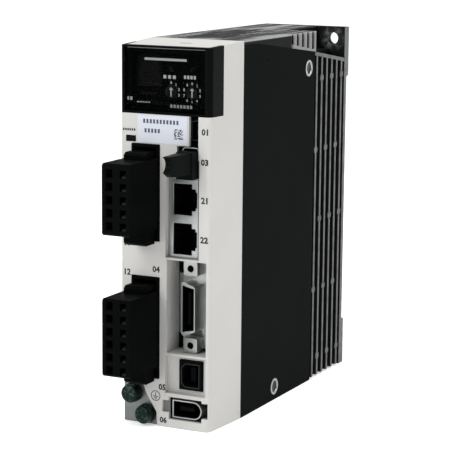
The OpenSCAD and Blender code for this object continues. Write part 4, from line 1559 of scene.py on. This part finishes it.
@dataclass
class NetworkJacks:
    """Shielded double jack with black liners and eight sprung contacts in each opening."""
    left: float = 21.3
    right: float = 29.2
    half_height: float = 6.1
    keys: tuple[Span, Span] = ((30.8, 4.2), (31.4, 3.0))
    levels: Span = (90.3, 74.9)
    liner_front: float = 2.95
    liner_back: float = 13.9
    liner_wall: float = 0.35
    liner_floor: float = 0.5
    contacts: int = 8
    contact_pitch: float = 1.02
    contact_half: float = 0.2
    # Black strip of painted shade in the slit beside the jacks.
    gap: Block = ((18.72, 19.06), (2.0, 5.9), (67.8, 98.1))

    def build(self) -> None:
        """Makes the shell, a strip of painted shade beside it, the liners and the contacts."""
        softened("network_jacks", SHELL, 0.16)
        body = body_of("network_jacks")
        # A black strip in the slit beside the jacks is painted shade.
        Solid().block(*self.gap).piece("jack_side_gap", LINER, body)
        liner = Solid()
        for level in self.levels:
            liner.ring_wall(inset(self.outline(level), 0.04), self.liner_wall, Axis.Y,
                            (self.liner_front, self.liner_back))
            end = self.liner_back - 0.1
            liner.prism(inset(self.outline(level), 0.1), Axis.Y, (end - self.liner_floor, end))
        liner.piece("jack_liners", LINER, body)
        x = self.left
        spring = [(x, 5), (x + 0.5, 4.9), (x + 2.7, 12), (x + 2.7, 13.6), (x + 2.35, 13.6),
                  (x + 2.3, 12.1), (x + 0.25, 5.3), (x, 5.35)]
        for name, level, nodes in (("upper", self.levels[0], ("network_contacts",)),
                                   ("lower", self.levels[1], ())):
            contact = Solid().prism(spring, Axis.Z, (-self.contact_half, self.contact_half))
            first = level - (self.contacts - 1) / 2 * self.contact_pitch
            row_recipe().make(f"jack_contacts_{name}", GOLD, body, nodes, Pattern=contact,
                              Count=self.contacts, Start=place(0, 0, first),
                              Step=offset(0, 0, self.contact_pitch))

    def outline(self, level: float) -> list[Span]:
        """Keyed outline of an opening about its middle level.

        Args:
            level: The middle level.

        Returns:
            The corners.
        """
        (x1, h1), (x2, h2) = self.keys
        h = self.half_height
        half = [(self.left, h), (self.right, h), (self.right, h1), (x1, h1), (x1, h2), (x2, h2)]
        return [(x, level + z) for x, z in half] + [(x, level - z) for x, z in half[::-1]]


@dataclass
class RibbonPort:
    """Screened ribbon connector in its pocket, with two jack posts."""
    mouth: tuple[Span, ...] = ((25.7, 38.4), (30.7, 39.6), (30.7, 55.8), (25.7, 57.0))
    mouth_front: float = 1.9
    mouth_back: float = 17.0
    tongue_levels: Span = (41.4, 54.2)
    tongue_sides: Span = (27.5, 28.9)
    contacts: int = 25
    contact_pitch: float = 0.5
    contact_bar: Block = ((-0.06, 0.06), (3.6, 15.5), (-0.14, 0.14))
    liner_wall: float = 0.45
    post_levels: Span = (63.3, 32.9)
    post_x: float = 28.2
    thread_radius: float = 1.35
    thread_front: float = 3.9
    thread_pitch: float = 0.42
    threads: int = 11
    bore_end: Span = (7.9, 8.4)

    def build(self) -> None:
        """Makes the shell, its liner, the contacts and the posts."""
        body = body_of("io_shell")
        softened("io_shell", POST, 0.12)
        softened("io_insert", LINER, 0.1)
        softened("io_jack_posts", POST, 0.3, 3)
        Solid().ring_wall(inset(self.mouth, 0.02), self.liner_wall, Axis.Y,
                          (self.mouth_front, self.mouth_back)).piece("ribbon_liner", LINER, body)
        self.set_contacts(body)
        self.cut_threads(body)

    def set_contacts(self, body: str) -> None:
        """Sets a row of contacts on each side of the tongue.

        Args:
            body: The CAD body that the pieces ride on.
        """
        start = mid(self.tongue_levels) - (self.contacts - 1) / 2 * self.contact_pitch
        for name, x, nodes in (("left", self.tongue_sides[0], ("io_contacts",)),
                               ("right", self.tongue_sides[1], ())):
            bar = Solid().block(*self.contact_bar).soften(0.03, 1)
            row_recipe().make(f"ribbon_contacts_{name}", GOLD, body, nodes, Pattern=bar,
                              Count=self.contacts, Start=place(x, 0, start),
                              Step=offset(0, 0, self.contact_pitch))

    def cut_threads(self, body: str) -> None:
        """Sets thread ridges in the two posts, and closes their bores.

        Args:
            body: The CAD body that the pieces ride on.
        """
        radius = self.thread_radius
        outer = radius + 0.05
        front, back = self.bore_end
        floors = Solid()
        for level in self.post_levels:
            floors.turned(Axis.Y, (self.post_x, level), [(front, 0), (front, outer), (back, outer),
                                                         (back, 0)], 24)
        floors.piece("post_floors", LINER, body)
        for name, level in zip(("upper", "lower"), self.post_levels):
            ridge = Solid().turned(Axis.Y, (0, 0), [(0, outer), (0.3, outer), (0.15, radius - 0.22)], 24)
            row_recipe().make(f"post_thread_{name}", LINER, body, Pattern=ridge, Count=self.threads,
                              Start=place(self.post_x, self.thread_front, level),
                              Step=offset(0, self.thread_pitch, 0))


@dataclass
class SmallPorts:
    """Service socket, scale socket and encoder socket."""
    scale_mouth: tuple[Span, ...] = ((25.7, 18.4), (27.2, 16.7), (33.6, 16.7), (33.6, 26.3),
                                     (27.2, 26.3), (25.7, 24.6))
    scale_lip: float = 1.05
    scale_liner_front: float = 2.2
    floor: Span = (13.2, 13.8)
    side_contacts: int = 5
    # Plate of painted shade on the floor of the latch pocket.
    notch: Block = ((17.95, 20.95), (1.02, 1.12), (6.15, 10.85))
    encoder_left: float = 22.5
    encoder_levels: Span = (10.8, 4.6)
    encoder_round: Point = (31.2, 7.7, 3.1)
    encoder_lip: float = 1.25
    encoder_contacts: int = 6
    encoder_pitch: float = 1.0
    encoder_bar: Block = ((-0.25, 0.25), (2.6, 13.0), (-0.05, 0.06))

    def build(self) -> None:
        """Makes the three sockets."""
        self.service()
        self.scale()
        self.encoder()

    def service(self) -> None:
        """Narrow upright service socket with a dark tongue and four contacts."""
        softened("usb_socket", DIM_SHELL, 0.08)
        softened("usb_tongue", LINER, 0.08)
        left = node_span("usb_tongue", 0)[0]
        self.side_row("service_contacts", "usb_tongue", left, 0.3, 0.8, (0.05, 0.22))

    def side_row(self, name: str, tongue: str, x: float, lip: float, end: float, half: Span) -> None:
        """Sets a row of contacts up one side of a tongue.

        Args:
            name: Name of the row.
            tongue: The tongue's CAD node.
            x: Place of the side.
            lip: How far the contacts stay behind the tongue's front.
            end: How far the row stays inside the tongue's ends.
            half: Half of a contact's thickness and width.
        """
        (front, back), (low, high) = node_span(tongue, 1), node_span(tongue, 2)
        thick, wide = half
        bar = Solid().block((-thick, thick), (front + lip, back), (-wide, wide))
        row_recipe().make(name, GOLD, body_of(tongue), Pattern=bar, Count=self.side_contacts,
                          Start=place(x, 0, low + end),
                          Step=offset(0, 0, (high - low - 2 * end) / (self.side_contacts - 1)))

    def scale(self) -> None:
        """Square socket with a thin metal screen that has two cut corners."""
        body = body_of("scale_socket")
        softened("scale_socket", LINER, 0.18)
        back = self.floor[1]
        Solid().ring_wall(inset(self.scale_mouth, 0.02), 0.3, Axis.Y, (self.scale_lip, back - 0.2)) \
            .piece("scale_screen", DIM_SHELL, body)
        inner = inset(self.scale_mouth, 0.34)
        Solid().ring_wall(inner, 0.4, Axis.Y, (self.scale_liner_front, back - 0.1)) \
            .prism(inner, Axis.Y, self.floor).piece("scale_liner", BLUE_INSERT, body)
        softened("scale_insert", BLUE_INSERT, 0.15)
        for name, side in zip(("left", "right"), node_span("scale_insert", 0)):
            self.side_row(f"scale_contacts_{name}", "scale_insert", side, 0.4, 0.9, (0.06, 0.25))

    def encoder(self) -> None:
        """Rounded screened socket with a flat tongue, and a plate of painted shade in the latch pocket beside
        it.
        """
        body = body_of("encoder_shell")
        # A mid-grey plate on the latch pocket floor is painted shade.
        Solid().block(*self.notch).piece("latch_notch_floor", NOTCH_SHADE, body)
        softened("encoder_shell", SHELL, 0.14)
        softened("encoder_insert", LINER, 0.12)
        x, z, radius = self.encoder_round
        turns = [math.radians(-90 + 18 * k) for k in range(11)]
        mouth = [(self.encoder_left, level) for level in self.encoder_levels]
        mouth += [(x + radius * math.cos(turn), z + radius * math.sin(turn)) for turn in turns]
        Solid().ring_wall(inset(mouth, 0.02), 0.35, Axis.Y, (self.encoder_lip, self.floor[1] - 0.1)) \
            .prism(inset(mouth, 0.1), Axis.Y, self.floor).piece("encoder_liner", LINER, body)
        start = mid(node_span("encoder_insert", 0)) - (self.encoder_contacts - 1) / 2 * self.encoder_pitch
        row_recipe().make("encoder_contacts", GOLD, body, Pattern=Solid().block(*self.encoder_bar),
                          Count=self.encoder_contacts, Step=offset(self.encoder_pitch, 0, 0),
                          Start=place(start, 0, node_span("encoder_insert", 2)[1]))


@dataclass
class SafetyPort:
    """Screened socket and the bypass plug that sits in it."""
    plug_edge: float = 0.28

    def build(self) -> None:
        """Makes the socket and the plug."""
        softened("safety_socket", SHELL, 0.14)
        softened("safety_plug", BYPASS, self.plug_edge, 3)


# ---- Power plugs ----------------------------------------------------------------------------

class Connector(Enum):
    """The two power connectors."""
    MAINS = "mains"
    MOTOR = "motor"


@dataclass
class PowerPlug:
    """Pluggable connector: header, block with wire entries and lever slots, springs and latches."""
    kind: Connector
    poles: int
    middle: float
    pitch: float = 5.0
    wire_x: float = 7.7
    lever_x: float = 13.6
    entry: Point = (3.0, 1.2, 3.5)
    lever: Span = (2.6, 3.0)
    spring_depth: float = 16.0

    def build(self) -> None:
        """Makes every piece of the connector."""
        name = self.kind.value
        for part, edge in (("header", 0.15), ("plug", 0.22), ("latch_upper", 0.18), ("latch_lower", 0.18)):
            softened(f"{name}_{part}", PLUG, edge)
        self.set_springs()
        self.set_levers()
        self.frame_entries()

    @property
    def front(self) -> float:
        """Place of the block's front face."""
        return node_span(f"{self.kind.value}_plug", 1)[0]

    def row(self, name: str, finish: Finish, solid: Solid, *nodes: str) -> None:
        """Repeats a solid at every pole.

        Args:
            name: Name of the row.
            finish: Its finish.
            solid: One copy, about the lowest pole.
            *nodes: CAD nodes that it replaces.
        """
        lowest = self.middle - (self.poles - 1) / 2 * self.pitch
        row_recipe().make(f"{self.kind.value}_{name}", finish, body_of(f"{self.kind.value}_plug"), nodes,
                          Pattern=solid, Count=self.poles, Start=place(0, 0, lowest),
                          Step=offset(0, 0, self.pitch))

    def set_springs(self) -> None:
        """Clamping spring at the bottom of each wire entry."""
        bottom = self.front + self.spring_depth
        side = self.wire_x + self.entry[0] / 2
        outline = [(side, bottom), (side - 0.4, bottom), (side - 0.4, bottom - 5), (side - 2, bottom - 2.2),
                   (side - 2.3, bottom - 2.5), (side - 0.5, bottom - 6.2), (side, bottom - 6.2)]
        self.row("springs_shape", SPRING, Solid().prism(outline, Axis.Z, (-1.2, 1.2)),
                 f"{self.kind.value}_springs")

    def set_levers(self) -> None:
        """Bright end of the spring's lever, seen in each lever slot."""
        wide, tall = self.lever
        x, start, end, foot = self.lever_x, self.front + 0.15, self.front + 9, -tall / 2
        lever = Solid().prism([(start, foot + 0.02), (end, foot + 0.02), (end, foot + 1.5),
                               (self.front + 3.2, foot + 1.3), (start, foot + 0.7)],
                              Axis.X, (x - 0.4, x + wide / 2 - 0.04))
        self.row("levers", LEVER, lever.soften(0.12))

    def frame_entries(self) -> None:
        """Thin raised lip round each wire entry."""
        wide, lip, tall = self.entry
        outline = rounded((self.wire_x - wide / 2 - 0.05, self.wire_x + wide / 2 + 0.05),
                          (-tall / 2 - 0.05, tall / 2 + 0.05), 0.3, 3)
        start = self.front + 0.5
        self.row("entry_lips", PLUG, Solid().ring_wall(outline, 0.35, Axis.Y, (start, start + lip)))


# ---- Earth terminal and boards --------------------------------------------------------------

@dataclass
class EarthTerminal:
    """Plated strip with two green screws, each with its washer."""
    screws: tuple[Span, Span] = ((4.8, 12.2), (10.8, 4.4))
    head_radius: float = 3.6
    head_face: float = -3.6
    washer_radius: float = 3.9
    shank_radius: float = 1.95
    washer: Span = (-0.58, 1.0)

    def build(self) -> None:
        """Makes the strip, the screws and the washers."""
        softened("earth_plate", EARTH, 0.15)
        body = body_of("earth_screws")
        back = node_span("earth_screws", 1)[1]
        radius, shank = self.head_radius, self.shank_radius
        face = self.head_face
        head = Solid().turned(Axis.Y, (0, 0), [(face, 0), (face, radius - 1.1), (face + 0.12, radius - 0.55),
                                               (face + 0.5, radius - 0.12), (face + 0.75, radius),
                                               (-0.85, radius), (-0.65, radius - 0.2), (-0.6, shank),
                                               (back, shank), (back, 0)], 40)
        head.cut(cross(Axis.Y, (face - 0.6, face + 1.4), 2.2, 0.95))
        (start, end), rim, bore, bevel = self.washer, self.washer_radius, shank + 0.1, 0.15
        washer = Solid().turned(Axis.Y, (0, 0), [(start, bore), (start, rim - bevel), (start + bevel, rim),
                                                 (end - bevel, rim), (end, rim - bevel), (end, bore)], 40)
        at = [place(x, 0, z) for x, z in self.screws]
        set_pair("earth_screw_pair", GREEN_SCREW, body, head, at, "earth_screws")
        set_pair("earth_washer_pair", GREEN_SCREW, body, washer, at, "earth_washers")


@dataclass
class Inside:
    """The two boards and the pieces on them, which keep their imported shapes."""
    lens_edge: float = 0.1

    def build(self) -> None:
        """Gives each piece its finish."""
        refinish(BOARD, "control_board", "power_board")
        refinish(BRASS, "board_pillars")
        refinish(SPRING, "board_screws", "header_pins")
        refinish(BEIGE, "board_link")
        refinish(BLACK_PART, "power_module", "rectifier", "control_chips")
        refinish(PAD, "thermal_pad")
        refinish(CAN, "bus_capacitors")
        refinish(WINDING, "transformer")
        refinish(RELAY, "inrush_relay")
        refinish(CHOKE, "line_choke")
        softened("charge_lens", CHARGE, self.lens_edge)
        refinish(CHARGE, "charge_lamp")


# ---- Studio ---------------------------------------------------------------------------------

@dataclass
class Studio:
    """Pale floor, soft lights and the camera."""
    lens: float = 140.75
    azimuth: float = 26.227
    pitch: float = 10.074
    roll: float = 0.523
    eye: Point = (343.43, -605.18, 199.63)
    floor_side: float = 40.0
    sky: float = 0.34
    aim: Point = (0, 0, 0.07)

    def build(self) -> None:
        """Makes the floor, the sky, the lights and the camera."""
        self.lay_floor()
        self.light_room()
        self.set_camera()

    def lay_floor(self) -> None:
        """Plain pale floor that the drive stands on."""
        half = self.floor_side / 2
        data = bpy.data.meshes.new("floor")
        data.from_pydata([(-half, -half, 0), (half, -half, 0), (half, half, 0), (-half, half, 0)],
                         [], [(0, 1, 2, 3)])
        floor = bpy.data.objects.new("floor", data)
        link(floor)
        data.materials.append(FLOOR.material())

    def light_room(self) -> None:
        """Even pale sky with a large soft light above, in front and at the side."""
        world = bpy.data.worlds.new("room")
        world.use_nodes = True
        sky = world.node_tree.nodes["Background"]
        sky.inputs["Color"].default_value = (1, 1, 1, 1)
        sky.inputs["Strength"].default_value = self.sky
        bpy.context.scene.world = world
        self.add_light("key", (-0.55, -1.25, 0.95), 0.9, 15)
        self.add_light("top", (0.1, 0.1, 1.7), 1.4, 26)
        self.add_light("side", (1.3, 0.2, 0.8), 0.7, 4)

    def add_light(self, name: str, at: Point, size: float, power: float) -> None:
        """Adds a square soft light that faces the middle of the drive.

        Args:
            name: The light's name.
            at: Its place, in metres.
            size: Length of its sides, in metres.
            power: Its power, in watts.
        """
        data = bpy.data.lights.new(name, "AREA")
        data.size, data.energy = size, power
        light = bpy.data.objects.new(name, data)
        aim = Vector(self.aim) - Vector(at)
        light.matrix_world = Matrix.Translation(at) @ aim.to_track_quat("-Z", "Y").to_matrix().to_4x4()
        link(light)

    def set_camera(self) -> None:
        """Camera in front of the right corner, looking a little down."""
        azimuth, pitch, roll = (math.radians(a) for a in (self.azimuth, self.pitch, self.roll))
        forward = Vector((-math.sin(azimuth) * math.cos(pitch), math.cos(azimuth) * math.cos(pitch),
                          -math.sin(pitch)))
        right = Vector((math.cos(azimuth), math.sin(azimuth), 0))
        up = right.cross(forward)
        level, upright = (right * math.cos(roll) + up * math.sin(roll),
                          up * math.cos(roll) - right * math.sin(roll))
        data = bpy.data.cameras.new("camera")
        data.lens, data.clip_start, data.clip_end = self.lens, 0.02, 20
        camera = bpy.data.objects.new("camera", data)
        turn = Matrix((level, upright, -forward)).transposed().to_4x4()
        camera.matrix_world = Matrix.Translation(place(*self.eye)) @ turn
        link(camera)
        bpy.context.scene.camera = camera
        bpy.context.scene.view_settings.view_transform = "Standard"


def main() -> None:
    """Builds the drive piece by piece, then its studio."""
    logging.basicConfig(level=logging.INFO, format="%(name)s: %(message)s")
    for part in (FrontCover(), CaseShell(), HeatSink(), DisplayHead(), RatingLabel(), NetworkJacks(),
                 RibbonPort(), SmallPorts(), SafetyPort(), PowerPlug(Connector.MAINS, 5, 92.3),
                 PowerPlug(Connector.MOTOR, 6, 39.2), EarthTerminal(), Inside(), Studio()):
        log.info("building %s", type(part).__name__)
        part.build()


if __name__ == "__main__":
    main()
